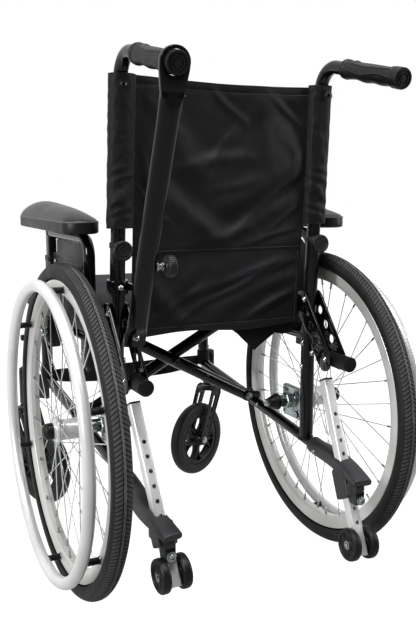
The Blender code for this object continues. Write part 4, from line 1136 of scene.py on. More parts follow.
# =====================================================================
# armrests
# =====================================================================
def armrest(s, side):
    body = side + "_armrest"
    x = s * ARM_X
    P = []

    def post_sec(w_, d_, r_):
        return rrect(0, 0, w_, d_, r_, 5)
    P.append((sweep([(x, ARM_Y, z) for z in (0.415, 0.4162, 0.5985, 0.600)],
                    lambda i, t: [(a * (0.93 if i in (0, 3) else 1.0), b * (0.95 if i in (0, 3) else 1.0)) for a, b in post_sec(0.0210, 0.0300, 0.0050)],
                    8, (1, 0, 0)), SATIN))
    P.append((sweep([(x, ARM_Y, z) for z in (0.5960, 0.6622)], lambda i, t: post_sec(0.0172, 0.0252, 0.0042), 8, (1, 0, 0)), PAINT))
    P.append((sweep([(x, ARM_Y, z) for z in (0.5930, 0.5940, 0.6030, 0.6040)],
                    lambda i, t: [(a * (0.96 if i in (0, 3) else 1.0), b * (0.97 if i in (0, 3) else 1.0)) for a, b in post_sec(0.0226, 0.0316, 0.0056)],
                    8, (1, 0, 0)), PLASTIC))
    P.append((socket_head((x, ARM_Y + 0.0148, 0.5700), (0, 1, 0), 0.0042, 0.0026), CHROME))
    P.append((socket_head((x + s * 0.0103, ARM_Y, 0.5700), (s, 0, 0), 0.0056, 0.0034), CHROME))
    path = fillet([(x, ARM_TUBE_Y, 0.4145), (x, ARM_TUBE_Y, 0.6515), (x, ARM_Y + 0.010, 0.6515)], 0.032, 14)

    def tube_sec(i, t):
        return (0.0105, 0.0105)
    P.append((sweep(path, tube_sec, 24, (1, 0, 0)), PAINT))
    P.append((bead((x, ARM_Y, 0.6515), (0, 1, 0), 0.0105, (0, 0, 1), 0.0126, 0.0014, 5), PAINT))
    for y in (-0.175, -0.035):
        P.append((box((x, y, 0.6570), (0.0180, 0.0300, 0.0120), 0.0020), PAINT))
        P.append((dome_head((x, y, 0.6415), (0, 0, -1), 0.0046, 0.0030), CHROME))
    put(side + "_armrest_frame_v", joined(P), [PAINT], body, (side + "_armrest_frame",))
    # side panel: moulded sheet with a rolled edge and press ribs
    loop = (arc(-0.2125, 0.4870, 0.0080, 180, 270, 5) + arc(0.0005, 0.4870, 0.0080, 270, 360, 5) + arc(-0.0320, 0.5999, 0.0405, 0, 90, 14)
            + arc(-0.1820, 0.6344, 0.0060, 90, 180, 4) + arc(-0.1940, 0.6180, 0.0060, 0, -90, 4)[:1]
            + arc(-0.1940, 0.6180, 0.0060, 360, 270, 4) + arc(-0.2145, 0.6060, 0.0060, 90, 180, 4))
    P = [(plate(loop, [], 0.0030, Matrix.Translation(Vector((x, 0, 0))) @ YZ, 0.0007), PLASTIC)]
    inner = rrect(-0.106, 0.5480, 0.190, 0.110, 0.014, 7)
    inner2 = rrect(-0.106, 0.5480, 0.184, 0.104, 0.011, 7)
    for k in (-1, 1):
        P.append((plate(inner, [inner2], 0.0014, Matrix.Translation(Vector((x + k * 0.0019, 0, 0))) @ YZ, 0.0005), PLASTIC))
    for y, z in ((-0.2050, 0.5950), (-0.2050, 0.4960), (-0.006, 0.4960), (-0.006, 0.5900)):
        P.append((dome_head((x + s * 0.0014, y, z), (s, 0, 0), 0.0044, 0.0022), STEEL))
    put(side + "_side_panel_v", joined(P), [PLASTIC], body, (side + "_side_panel",))
    # pad: plastic tray, piping, domed cover
    cx = s * 0.254
    y0, y1, hx = -0.290, 0.070, 0.0325
    P = []
    base = rrect(cx, (y0 + y1) / 2, 2 * hx, y1 - y0, 0.029, 12)
    lower = rrect(cx, (y0 + y1) / 2, 2 * hx - 0.010, y1 - y0 - 0.010, 0.025, 12)
    verts, faces = [], []
    rows = [(lower, 0.6632), ([((p[0] - cx) * 0.985 + cx, (p[1] + 0.11) * 0.997 - 0.11) for p in base], 0.6650), (base, 0.6672), (base, 0.6815),
            ([((p[0] - cx) * 0.985 + cx, (p[1] + 0.11) * 0.997 - 0.11) for p in base], 0.6826)]
    n = len(base)
    for loop2, z in rows:
        verts += [(p[0], p[1], z) for p in loop2]
    for i in range(len(rows) - 1):
        for k in range(n):
            l = (k + 1) % n
            faces.append((i * n + k, i * n + l, (i + 1) * n + l, (i + 1) * n + k))
    faces.append(tuple(range(n - 1, -1, -1)))
    faces.append(tuple((len(rows) - 1) * n + k for k in range(n)))
    P.append((mesh_of(verts, faces), PLASTIC))
    edge = [Vector((((p[0] - cx) * 0.975 + cx), (p[1] + 0.11) * 0.995 - 0.11, 0.6834)) for p in base]
    # piping cord round the pad top; the cord is real, its pale colour is painted highlight
    P.append((sweep(edge, lambda i, t: (0.0016, 0.0016), 10, (0, 0, 1), False, 0, True), PIPING_PAINTED_HIGHLIGHT))
    nu, nv = 26, 110
    verts, faces = [], []
    for i in range(nv + 1):
        v = -1 + 2 * i / nv
        for k in range(nu + 1):
            uu = -1 + 2 * k / nu
            # ease towards the rim so the dome has round shoulders
            pu = math.sin(uu * math.pi / 2)
            pv = math.copysign(1 - (1 - abs(v)) ** 1.35, v)
            half_len = (y1 - y0) / 2
            rc = 0.029
            # width of the stadium-like outline at this station
            dist_end = half_len * (1 - abs(pv))
            wdt = hx - rc + math.sqrt(max(rc * rc - max(rc - dist_end, 0.0) ** 2, 0.0)) if dist_end < rc else hx
            px = cx + pu * wdt * 0.975
            py = (y0 + y1) / 2 + pv * half_len * 0.995
            dome = max(0.0, 1 - abs(pu) ** 2.3) ** 0.52
            if pv < -0.35:
                crown = max(0.0, 1 - ((-pv - 0.35) / 0.65) ** 2.6) ** 0.60
            else:
                crown = max(0.0, 1 - ((pv + 0.35) / 1.35) ** 3.6) ** 0.55 * (1 - 0.34 * max(0.0, (pv + 0.35) / 1.35))
            h = 0.0324 * dome * crown
            nz = noise.noise(Vector((px * 22, py * 16, s * 3.0))) * 0.0007 * dome
            dimple = 0.0010 * math.exp(-((py - 0.052) / 0.012) ** 2) * math.cos(pu * 9.0) * dome
            verts.append((px, py, 0.6826 + h + nz - abs(dimple) * 0.5))
    for i in range(nv):
        for k in range(nu):
            a = i * (nu + 1) + k
            faces.append((a, a + 1, a + nu + 2, a + nu + 1))
    cover = mesh_of(verts, faces)
    bm = bmesh.new()
    bm.from_mesh(cover)
    bmesh.ops.remove_doubles(bm, verts=bm.verts, dist=0.00012)
    bmesh.ops.recalc_face_normals(bm, faces=bm.faces)
    bm.to_mesh(cover)
    bm.free()
    P.append((cover, LEATHER))
    for y in (-0.215, -0.005):
        P.append((socket_head((cx, y, 0.6634), (0, 0, -1), 0.0042, 0.0010), STEEL))
    pad = put(side + "_armrest_pad_v", joined(P), [LEATHER], body, (side + "_armrest_pad",), 40)


# =====================================================================
# anti-tippers
# =====================================================================
TIP_TOP, TIP_END = Vector((0.196, 0.136, 0.380)), Vector((0.180, 0.285, 0.087))
TIP_SHORTER = {1: 0.020, -1: 0.0}
SHOE_DROP = {1: 0.0300, -1: 0.0}


def anti_tip(s, side):
    m3 = Vector((s, 1, 1))
    top, end = TIP_TOP * m3, TIP_END * m3
    axis = (end - top).normalized()
    end = end - axis * TIP_SHORTER[s]
    place = placed(end, top - end, (s, 0, 0))
    side_dir = place.to_3x3() @ Vector((1, 0, 0))
    back_dir = place.to_3x3() @ Vector((0, 1, 0))
    length = (top - end).length
    outer, inner = rrect(0, 0, 0.020, 0.020, 0.0030, 5), rrect(0, 0, 0.0168, 0.0168, 0.0016, 4)
    shell = plate(outer, [inner], length - 0.004, place @ Matrix.Translation(Vector((0, 0, length / 2 - 0.002))), 0.0003)
    cuts = []
    for k in range(9):
        p = top + axis * (0.071 + 0.025 * k)
        if (p - end).length < 0.040:
            break
        cuts.append(rod(p - back_dir * 0.02, p + back_dir * 0.02, 0.0037, 24, 0))
    shell = drilled(shell, cuts)
    shell.materials.clear()
    P = [(shell, SILVER)]
    P.append((plate(rrect(0, 0, 0.0204, 0.0204, 0.0034, 5), [], 0.0034, place @ Matrix.Translation(Vector((0, 0, length - 0.0022))), 0.0008), PLASTIC))
    P.append((plate(rrect(0, 0, 0.0164, 0.0164, 0.0014, 4), [], 0.0080, place @ Matrix.Translation(Vector((0, 0, 0.005))), 0.0008), PLASTIC))
    put(side + "_anti_tip_tube_v", joined(P), [SILVER], side + "_anti_tipper", (side + "_anti_tip_tube",))
    hub = end - axis * 0.0220
    P = []
    for k in (-1, 1):
        prof = rounded([(0.0046, 0.0108), (0.0110, 0.0106), (0.0125, 0.0128), (0.0200, 0.0128), (0.0215, 0.0108), (0.0268, 0.0110), (0.0290, 0.0140),
                        (0.0292, 0.0185), (0.0290, 0.0232), (0.0268, 0.0262), (0.0225, 0.0262), (0.0210, 0.0240), (0.0125, 0.0236),
                        (0.0110, 0.0256), (0.0046, 0.0256)], 0.0012, 3)
        P.append((lathe(prof, hub, side_dir * k, 64, 0, True), RUBBER))
        P.append((hex_head(hub + side_dir * (k * 0.0250), side_dir * k, 0.0090, 0.0030), STEEL))
        P.append((washer(hub + side_dir * (k * 0.0246), side_dir * k, 0.0076, 0.0030, 0.0012), STEEL))
        for j in range(5):
            a = 2 * math.pi * j / 5
            q = hub + side_dir * (k * 0.0185) + (back_dir * math.cos(a) + axis * math.sin(a)) * 0.0165
            d2 = (back_dir * math.cos(a) + axis * math.sin(a))
            P.append((box(None, (0.0128, 0.0030, 0.0090), 0.0008, placed(q, d2, side_dir)), RUBBER))
    P.append((rod(hub - side_dir * 0.0200, hub + side_dir * 0.0200, 0.0040, 20), STEEL))
    put(side + "_anti_tip_wheels_v", joined(P), [RUBBER], side + "_anti_tip_pair", (side + "_anti_tip_wheels",))
    # shoe: one plastic moulding, sleeve, pedal and clamp
    drop = SHOE_DROP[s]
    R = []
    st = [(0.0930, 0.2000, low_z(0.0930) + 0.0166, 0.0166, 0.0166, 1.0),
          (0.1200, 0.2000, low_z(0.1200) + 0.0168, 0.0168, 0.0168, 1.0),
          (0.1450, 0.1985, 0.2505 - 0.35 * drop, 0.0170, 0.0165, 0.80),
          (0.1750, 0.1955, 0.2510 - 0.90 * drop, 0.0172, 0.0165, 0.62),
          (0.2150, 0.1915, 0.2450 - drop, 0.0174, 0.0140, 0.50),
          (0.2500, 0.1878, 0.2360 - drop, 0.0176, 0.0095, 0.44),
          (0.2790, 0.1842, 0.2262 - drop, 0.0173, 0.0060, 0.42)]
    cols = np.array(st)
    ys = np.linspace(cols[0, 0], cols[-1, 0], 72)
    vals = np.stack([np.interp(ys, cols[:, 0], cols[:, k]) for k in range(1, 6)], axis=1)
    pad_v = np.concatenate([np.repeat(vals[:1], 6, 0), vals, np.repeat(vals[-1:], 6, 0)])
    soft = np.stack([np.convolve(pad_v[:, k], np.ones(13) / 13, "valid") for k in range(5)], axis=1)
    mixw = np.clip(np.minimum(np.arange(72), 71 - np.arange(72)) / 6.0, 0, 1)[:, None]
    vals = soft * mixw + vals * (1 - mixw)
    mid = [Vector((s * v[0], y, v[1] - v[3])) for y, v in zip(ys, vals)]

    def pedal(i, t):
        _, _, hw, hh, e = (float(q) for q in vals[i])
        out = []
        for k in range(36):
            a = 2 * math.pi * k / 36
            ca, sa = math.cos(a), math.sin(a)
            u = math.copysign(abs(ca) ** e, ca) * hw
            w = math.copysign(abs(sa) ** e, sa) * hh
            w += 0.0016 * (1 - e) * (1 - (u / hw) ** 2) * (1 if w * up_sign > 0 else 0) * up_sign
            out.append((u, w))
        return out
    first = (mid[1] - mid[0]).normalized()
    fx, fy, fz = frame_at(first, (s, 0, 0))
    up_sign = 1.0 if fy.z > 0 else -1.0
    R.append(sweep(mid, pedal, 36, (s, 0, 0)))
    tall = 0.0560 - 0.533 * drop
    cl = Matrix.Translation(top + axis * (0.198 + 0.857 * drop)) @ place.to_3x3().to_4x4()
    R.append(box(None, (0.0325, 0.0410, tall), 0.004, cl))
    R.append(box((s * 0.1868, 0.2300, 0.2080 - drop), (0.0190, 0.0640, 0.0330), 0.003))
    R.append(box((s * 0.1853, 0.2580, 0.1940 - drop), (0.0200, 0.0260, 0.0370), 0.003))
    shoe = moulded(R, 0.0011, 8)
    cuts = [box(None, (0.0212, 0.0212, 0.60), 0.0, placed(end, top - end, (s, 0, 0))),
            rod((s * 0.2, 0.0800, low_z(0.0800)), (s * 0.2, 0.1118, low_z(0.1118)), 0.01115, 30, 0),
            box((s * 0.1850, 0.2760, 0.1970 - drop), (0.0170, 0.0180, 0.0050), 0.0)]
    shoe = drilled(shoe, cuts)
    shoe.materials.clear()
    P = [(shoe, SHOE_PLASTIC)]
    P.append((rod((s * 0.1850, 0.2500, 0.1860 - drop), (s * 0.1850, 0.2740, 0.1860 - drop), 0.0040, 20), STEEL))
    P.append((washer((s * 0.1850, 0.2724, 0.1860 - drop), (0, 1, 0), 0.0086, 0.0030, 0.0014), STEEL))
    P.append((socket_head((s * 0.1850, 0.2736, 0.1860 - drop), (0, 1, 0), 0.0064, 0.0046), CHROME))
    P.append((socket_head((s * 0.1852, 0.1180, low_z(0.118) - 0.004), (-s, 0, -0.1), 0.0052, 0.0032), CHROME))
    put(side + "_anti_tip_shoe_v", joined(P), [SHOE_PLASTIC], side + "_frame", (side + "_anti_tip_shoe",), 45)


# =====================================================================
# wheel locks
# =====================================================================
def wheel_lock(s, side):
    P = []
    P.append((box((s * 0.2194, -0.3090, 0.4550), (0.0120, 0.0500, 0.0400), 0.0024), SATIN))
    P.append((plate(rrect(-0.3090, 0.4550, 0.0540, 0.0300, 0.0050, 5), [], 0.0030, Matrix.Translation(Vector((s * 0.2255, 0, 0))) @ YZ, 0.0008), SATIN))
    for y in (-0.3270, -0.2880):
        P.append((socket_head((s * 0.2262, y, 0.4480), (s, 0, 0), 0.0040, 0.0026), CHROME))
    P.append((rod((s * 0.2240, -0.3050, 0.4650), (s * 0.2272, -0.3050, 0.4650), 0.0100, 28), STEEL))
    for y in (-0.3240, -0.2930):
        P.append((lathe(rounded([(0.0134, -0.0070), (0.0160, -0.0070), (0.0160, 0.0070), (0.0134, 0.0070)], 0.0008, 2),
                        (s * FX, y, 0.455), (0, 1, 0), 36, 0, True), SATIN))
    put(side + "_brake_base_v", joined(P), [SATIN], side + "_frame", (side + "_brake_base",))
    P = []
    P.append((plate(stadium((-0.3050, 0.4650), (-0.2980, 0.4250), 0.0112, 0.0092, 12), [circle(-0.3015, 0.4450, 0.0030, 14)], 0.0050,
                    Matrix.Translation(Vector((s * 0.2298, 0, 0))) @ YZ, 0.0012), SATIN))
    P.append((hex_head((s * 0.2322, -0.3050, 0.4650), (s, 0, 0), 0.0120, 0.0056), CHROME))
    P.append((rod((s * 0.2298, -0.2980, 0.4250), (s * 0.2560, -0.2980, 0.4250), 0.0056, 26), CHROME))
    P.append((ribbed((s * 0.2500, -0.2980, 0.4250), (s * 0.2868, -0.2980, 0.4250), 0.0066, 14, 0.0006), RUBBER))
    hand = smooth_path([(s * 0.2345, -0.3030, 0.4650), (s * 0.2350, -0.3350, 0.4705), (s * 0.2356, -0.3800, 0.4806), (s * 0.2360, -0.4150, 0.4880)], 6)
    P.append((sweep(hand, lambda i, t: (0.0034, 0.0068), 16, (1, 0, 0)), SATIN))
    knob = smooth_path([(s * 0.2355, -0.3850, 0.4817), (s * 0.2360, -0.4100, 0.4868), (s * 0.2368, -0.4400, 0.4932)], 8)

    def swell(i, t):
        r = 0.0086 + 0.0018 * math.sin(math.pi * min(1.0, t * 1.1)) - (0.0030 if t > 0.97 else 0.0)
        return (r * 0.86, r)
    P.append((sweep(knob, swell, 22, (1, 0, 0)), RUBBER))
    put(side + "_brake_lever_v", joined(P), [SATIN], side + "_wheel_lock", (side + "_brake_lever",))


# =====================================================================
# folding cross
# =====================================================================
def cross_arm(name, s, y, body):
    low, high = Vector((-s * PIV_X, y, PIV_Z)), Vector((s * 0.190, y, 0.482))
    d = (high - low).normalized()
    P = []
    P.append((sweep([low, low + d * 0.02, high - d * 0.02, high], lambda i, t: (0.0125, 0.0125), 28, (0, 1, 0)), PAINT))
    P.append((lathe(rounded([(0.0056, -0.0125), (0.0125, -0.0125), (0.0125, 0.0125), (0.0056, 0.0125)], 0.0008, 2), low, (0, 1, 0), 32, 0, True), PAINT))
    P.append((rod((s * 0.190, -0.460, 0.482), (s * 0.190, 0.035, 0.482), 0.0115, 28, 0.001), PAINT))
    for yy, k in ((-0.460, -1), (0.035, 1)):
        P.append((lathe(rounded([(0.0, 0.0), (0.0117, 0.0), (0.0117, 0.0018), (0.0080, 0.0032), (0.0, 0.0036)], 0.0008, 3),
                        (s * 0.190, yy - k * 0.0002, 0.482), (0, k, 0), 28), PLASTIC))
    P.append((bead((s * 0.190, y, 0.482), (low - high).normalized(), 0.0125, (0, 1, 0), 0.0115, 0.0017, 4), PAINT))
    # boss for the centre bolt, and the gusset under the rail
    mid = Vector((0, y, CROSS_Z))
    k = 1 if y > -0.16 else -1
    P.append((lathe(rounded([(0.0, -0.0128), (0.0100, -0.0128), (0.0100, 0.0128), (0.0, 0.0128)], 0.001, 2), mid, (0, 1, 0), 32), PAINT))
    gus = [(s * (0.190 - 0.0465), 0.4585), (s * (0.190 - 0.004), 0.4740), (s * (0.190 - 0.010), 0.4400), (s * (0.190 - 0.040), 0.4520)]
    for t in (0.28, 0.66):
        at = low + d * ((high - low).length * t)
        P.append((dome_head(at + Vector((0, k * 0.0122, 0)), (0, k, 0), 0.0050, 0.0034), PAINT))
    put(name + "_v", joined(P), [PAINT], body, (name,))


def middle_hard():
    cross_arm("cross_arm_a", 1, -0.145, "rear_cross_arm")
    cross_arm("cross_arm_b", -1, -0.175, "front_cross_arm")
    P = [(rod((0, -0.1900, CROSS_Z), (0, -0.1300, CROSS_Z), 0.0046, 20), PAINT),
         (hex_head((0, -0.1890, CROSS_Z), (0, -1, 0), 0.0130, 0.0062), PAINT),
         (hex_head((0, -0.1310, CROSS_Z), (0, 1, 0), 0.0130, 0.0062), PAINT),
         (washer((0, -0.1878, CROSS_Z), (0, -1, 0), 0.0092, 0.0046, 0.0012), PAINT),
         (washer((0, -0.1322, CROSS_Z), (0, 1, 0), 0.0092, 0.0046, 0.0012), PAINT),
         (washer((0, -0.1600, CROSS_Z), (0, 1, 0), 0.0092, 0.0046, 0.0018), PLASTIC)]
    put("cross_bolt_v", joined(P), [PAINT], "front_cross_arm", ("cross_bolt",))


# =====================================================================
# backrest stabiliser
# =====================================================================
def stabiliser():
    centre = Vector((upright(1, CORNER_Z).x, *GRIP_START)) + PUSH_DIR * 0.146
    low = Vector((0.1985, 0.1600, 0.5000))
    head = centre - Vector((0, 0, 0.0150))
    axis = (low - head).normalized()
    P = []
    # a flat strap under the ring, folded and scooped where it turns into the oval tube
    down = Vector((0, -PUSH_DIR.z, PUSH_DIR.y)) * -1.0
    if down.z > 0:
        down = -down
    fold_at = centre + down * 0.0405
    start = centre + down * 0.0385
    end = low + axis * 0.020
    up = -down
    face = Matrix(((1, 0, 0, centre.x), (0, up.y, -up.z, centre.y), (0, up.z, up.y, centre.z), (0, 0, 0, 1)))
    eye = [(0.0238 * math.cos(math.pi * i / 40), 0.0238 * math.sin(math.pi * i / 40)) for i in range(41)]
    eye += [(-0.0232, -0.0100), (-0.0188, -0.0405), (0.0188, -0.0405), (0.0232, -0.0100)]
    P.append((plate(eye, [circle(0, 0, 0.0183, 56)], 0.0072, face, 0.0008), BAR_PAINT))
    pts = [start.lerp(fold_at, i / 3) for i in range(3)]
    pts += [fold_at.lerp(end, i / 90) for i in range(91)]
    flat_len = (fold_at - start).length
    total = flat_len + (end - fold_at).length

    def ease(v):
        v = max(0.0, min(1.0, v))
        return v * v * (3 - 2 * v)

    def sec(i, t):
        z = t * total - flat_len
        if z <= 0:
            wx, e = 0.0184, 0.20
        else:
            wx, e = 0.0184 + (0.0172 - 0.0184) * ease(z / 0.060), 0.20 + 0.75 * ease(z / 0.014)
        thick = 0.0036 + 0.0064 * ease(z / 0.022)
        close = ease((t - 0.905) / 0.05)
        wx += 0.0018 * close
        out = []
        for k in range(56):
            a = 2 * math.pi * k / 56
            ca, sa = math.cos(a), math.sin(a)
            u = math.copysign(abs(ca) ** e, ca) * wx
            if sa >= 0:
                wy = thick
            else:
                run = 0.004 + 0.024 * max(0.0, 1 - (abs(u) / wx) ** 1.5)
                wy = 0.0036 + 0.0064 * max(0.0, min(1.0, z / run)) ** 0.9
            wy += (0.0036 - wy) * close
            out.append((u, math.copysign(abs(sa) ** e, sa) * wy))
        return out
    P.append((sweep(pts, sec, 56, (1, 0, 0)), BAR_PAINT))
    P.append((dome_head(low + axis * 0.004 + Vector((0, 0.0034, 0)), (0, 1, 0), 0.0060, 0.0030), CHROME))
    put("stabiliser_bar_v", joined(P), [BAR_PAINT], "stabiliser", ("stabiliser_bar",), 45)
    t = (head.z - 0.618) / (head.z - low.z)
    at = head + (low - head) * t
    x0 = at.x - 0.0172
    K = [(hex_head((x0, at.y, 0.618), (-1, 0, 0), 0.0125, 0.0040), STEEL),
         (rod((x0 + 0.0003, at.y, 0.618), (x0 - 0.0160, at.y, 0.618), 0.0044, 20), STEEL),
         (lathe(rounded([(0.0, 0.0), (0.0066, 0.0), (0.0074, 0.0020), (0.0060, 0.0040), (0.0, 0.0042)], 0.0006, 2), (x0 - 0.0090, at.y, 0.618), (-1, 0, 0), 24), CHROME),
         (lathe(rounded([(0.0, 0.0), (0.0085, 0.0), (0.0115, 0.0030), (0.0170, 0.0042), (0.0, 0.0046)], 0.0008, 3), (x0 - 0.0135, at.y, 0.618), (-1, 0, 0), 36), KNOB),
         (knob_mesh((x0 - 0.0172, at.y, 0.618), (-1, 0, 0), 0.0180, 0.0137, 32, 0.0005), KNOB)]
    put("stabiliser_knob_v", joined(K), [KNOB], "stabiliser_lock", ("stabiliser_knob",), 40)
    seat = upright(1, 0.572)
    B = []
    B.append((lathe(rounded([(0.0144, -0.0120), (0.0190, -0.0120), (0.0190, 0.0120), (0.0144, 0.0120)], 0.0012, 3), seat, lean(1), 44, 0, True), PAINT))
    arm = stadium((0.0765, 0.572), (0.1415, 0.572), 0.0065, 0.0065, 10)
    B.append((plate(arm, [], 0.0050, Matrix.Translation(Vector((0.1805, 0, 0))) @ YZ, 0.0010), PAINT))
    B.append((socket_head((0.1780, 0.1410, 0.572), (-1, 0, 0), 0.0046, 0.0034), CHROME))
    B.append((dome_head(seat + Vector((0.0, 0.0186, 0)), (0, 1, 0), 0.0050, 0.0034), CHROME))
    put("stabiliser_bracket_v", joined(B), [PAINT], "left_frame", ("stabiliser_bracket",))


# =====================================================================
# soft pieces
# =====================================================================
def up_y(z):
    return upright(1, z).y


def cloth_shell(grid, offset):
    """Closed thin shell: grid[j][i] points, the second skin lies at +offset(point)."""
    nj, ni = len(grid), len(grid[0])
    verts = [p for row in grid for p in row] + [p + offset for row in grid for p in row]
    n = nj * ni
    faces = []
    for j in range(nj - 1):
        for i in range(ni - 1):
            a = j * ni + i
            faces.append((a, a + 1, a + ni + 1, a + ni))
            faces.append((n + a, n + a + ni, n + a + ni + 1, n + a + 1))
    for i in range(ni - 1):
        faces.append((i + 1, i, n + i, n + i + 1))
        a = (nj - 1) * ni + i
        faces.append((a, a + 1, n + a + 1, n + a))
    for j in range(nj - 1):
        a = j * ni
        faces.append((a, a + ni, n + a + ni, n + a))
        b = j * ni + ni - 1
        faces.append((b + ni, b, n + b, n + b + ni))
    me = mesh_of(verts, faces)
    bm = bmesh.new()
    bm.from_mesh(me)
    bmesh.ops.recalc_face_normals(bm, faces=bm.faces)
    bm.to_mesh(me)
    bm.free()
    return me


# folds of the back: (x0, z0, x1, z1, width, height)
FOLDS = [(-0.055, 0.912, -0.105, 0.795, 0.03, 0.0088), (-0.168, 0.795, 0.06, 0.662, 0.022, 0.0117),
         (-0.168, 0.73, 0.005, 0.64, 0.015, 0.0077), (0.125, 0.735, 0.004, 0.655, 0.018, 0.0088),
         (0.145, 0.905, 0.055, 0.775, 0.022, 0.0092), (0.055, 0.775, -0.075, 0.8, 0.03, 0.0066),
         (-0.155, 0.905, -0.075, 0.885, 0.018, 0.0057), (-0.12, 0.85, -0.165, 0.78, 0.018, 0.0051),
         (0.15, 0.84, 0.11, 0.7, 0.02, 0.0057), (-0.06, 0.7, 0.03, 0.69, 0.026, -0.0066),
         (-0.162, 0.612, -0.055, 0.566, 0.012, 0.0077), (-0.16, 0.58, -0.01, 0.52, 0.016, 0.0088),
         (0.05, 0.588, 0.125, 0.54, 0.014, 0.0066), (-0.16, 0.545, -0.075, 0.505, 0.01, 0.0057),
         (-0.005, 0.61, 0.06, 0.52, 0.018, 0.0051), (0.15, 0.6, 0.08, 0.505, 0.016, 0.0057)]


FINE = [(-0.169, 0.778, -0.039, 0.671, 0.0085, 0.0026), (-0.039, 0.671, 0.076, 0.630, 0.0100, 0.0022),
        (-0.099, 0.898, -0.170, 0.840, 0.0070, 0.0024), (-0.039, 0.871, 0.026, 0.778, 0.0110, 0.0030),
        (-0.109, 0.600, 0.031, 0.560, 0.0075, 0.0026), (0.031, 0.560, 0.1415, 0.507, 0.0080, 0.0024),
        (-0.149, 0.538, -0.079, 0.5115, 0.0060, 0.0020), (-0.079, 0.5826, 0.016, 0.538, 0.0065, 0.0022),
        (0.1565, 0.800, 0.126, 0.725, 0.0060, 0.0018), (0.162, 0.742, 0.118, 0.690, 0.0055, 0.0018),
        (0.076, 0.778, -0.039, 0.796, 0.0110, 0.0024), (-0.165, 0.712, -0.085, 0.648, 0.0065, 0.0020),
        (-0.166, 0.668, -0.060, 0.640, 0.0050, 0.0016), (0.020, 0.905, -0.030, 0.860, 0.0070, 0.0018),
        (-0.166, 0.610, -0.110, 0.585, 0.0050, 0.0016), (0.140, 0.880, 0.090, 0.840, 0.0080, 0.0016),
        (0.030, 0.532, 0.090, 0.497, 0.0060, 0.0018), (-0.060, 0.760, 0.010, 0.735, 0.0090, 0.0018)]

CREASES = [f[:5] + (f[5] * 0.72,) for f in FOLDS] + [f[:5] + (f[5] * 1.6,) for f in FINE]


def drape(x, z):
    h = 0.0030 * math.cos(x / 0.175 * math.pi / 2) * (1.0 if z > 0.628 else 0.7)
    for x0, z0, x1, z1, w, a in CREASES:
        dx, dz = x1 - x0, z1 - z0
        ln = math.hypot(dx, dz)
        t = ((x - x0) * dx + (z - z0) * dz) / (ln * ln)
        d = ((x - x0) * dz - (z - z0) * dx) / ln
        d += 0.45 * min(w, 0.014) * math.sin(t * 3.3 + x0 * 40.0)
        over = max(0.0, -t, t - 1.0) * ln
        fade = math.exp(-(over / 0.030) ** 2) * (0.35 + 0.65 * math.sin(math.pi * min(1.0, max(0.0, 0.15 + 0.7 * t))))
        h += a * fade * (math.exp(-(d / w) ** 2) - 0.45 * math.exp(-((d - 1.5 * w) / (1.2 * w)) ** 2))
    n = noise.noise(Vector((x * 16 + z * 9, z * 12 - x * 6, 3.1)))
    h += 0.0016 * n + 0.0005 * noise.noise(Vector((x * 60, z * 46, 7.7)))
    hold = min(1.0, (0.172 - abs(x)) / 0.030)
    return h * max(0.15, hold)


def panel_top(x):
    return 0.9255 - 0.0070 * math.cos(max(-1.0, min(1.0, (x + 0.035) / 0.205)) * math.pi / 2)


def panel_low(x):
    return 0.4800 + 0.0035 * math.sin(x * 26.0)


def panel_y(x, z):
    y = up_y(z) + 0.0006 + drape(x, z)
    if z < 0.6285:
        y -= 0.0016 * min(1.0, (0.6285 - z) / 0.0015)
    # sewn lines pull the cloth in
    for zz, dd in ((0.6310, 0.0011), (0.4915, 0.0010)):
        y -= dd * math.exp(-((z - zz) / 0.0035) ** 2)
    y -= 0.0008 * math.exp(-((panel_top(x) - 0.013 - z) / 0.0030) ** 2)
    y += 0.0008 * math.exp(-((panel_top(x) - 0.004 - z) / 0.0050) ** 2)
    return y


def stitches(points, normal, r=0.00042, pitch=0.0034, dash=0.0024, lift=0.0001):
    """Thread dashes along a line."""
    pts = [Vector(p) for p in points]
    run = [0.0]
    for a, b in zip(pts, pts[1:]):
        run.append(run[-1] + (b - a).length)

    def at(d):
        for i in range(len(pts) - 1):
            if run[i + 1] >= d:
                t = (d - run[i]) / max(run[i + 1] - run[i], 1e-9)
                return pts[i].lerp(pts[i + 1], t)
        return pts[-1]
    nrm = Vector(normal).normalized()
    verts, faces = [], []
    k = 0
    while (k + 1) * pitch < run[-1]:
        a, b = at(k * pitch), at(k * pitch + dash)
        d = (b - a).normalized()
        side = d.cross(nrm).normalized()
        base = len(verts)
        rings = [(0.0, 0.35, -0.6), (0.18, 1.0, 0.3), (0.5, 1.1, 0.7), (0.82, 1.0, 0.3), (1.0, 0.35, -0.6)]
        for t, f, up in rings:
            c = a.lerp(b, t) + nrm * (lift + r * up)
            for q in range(6):
                an = 2 * math.pi * q / 6
                verts.append(c + side * (r * f * math.cos(an)) + nrm * (r * f * math.sin(an)))
        for i in range(4):
            for q in range(6):
                p = (q + 1) % 6
                faces.append((base + i * 6 + q, base + i * 6 + p, base + (i + 1) * 6 + p, base + (i + 1) * 6 + q))
        faces.append(tuple(base + q for q in range(5, -1, -1)))
        faces.append(tuple(base + 24 + q for q in range(6)))
        k += 1
    return mesh_of(verts, faces)


ROW = Vector((0.0, YS, 0.0))


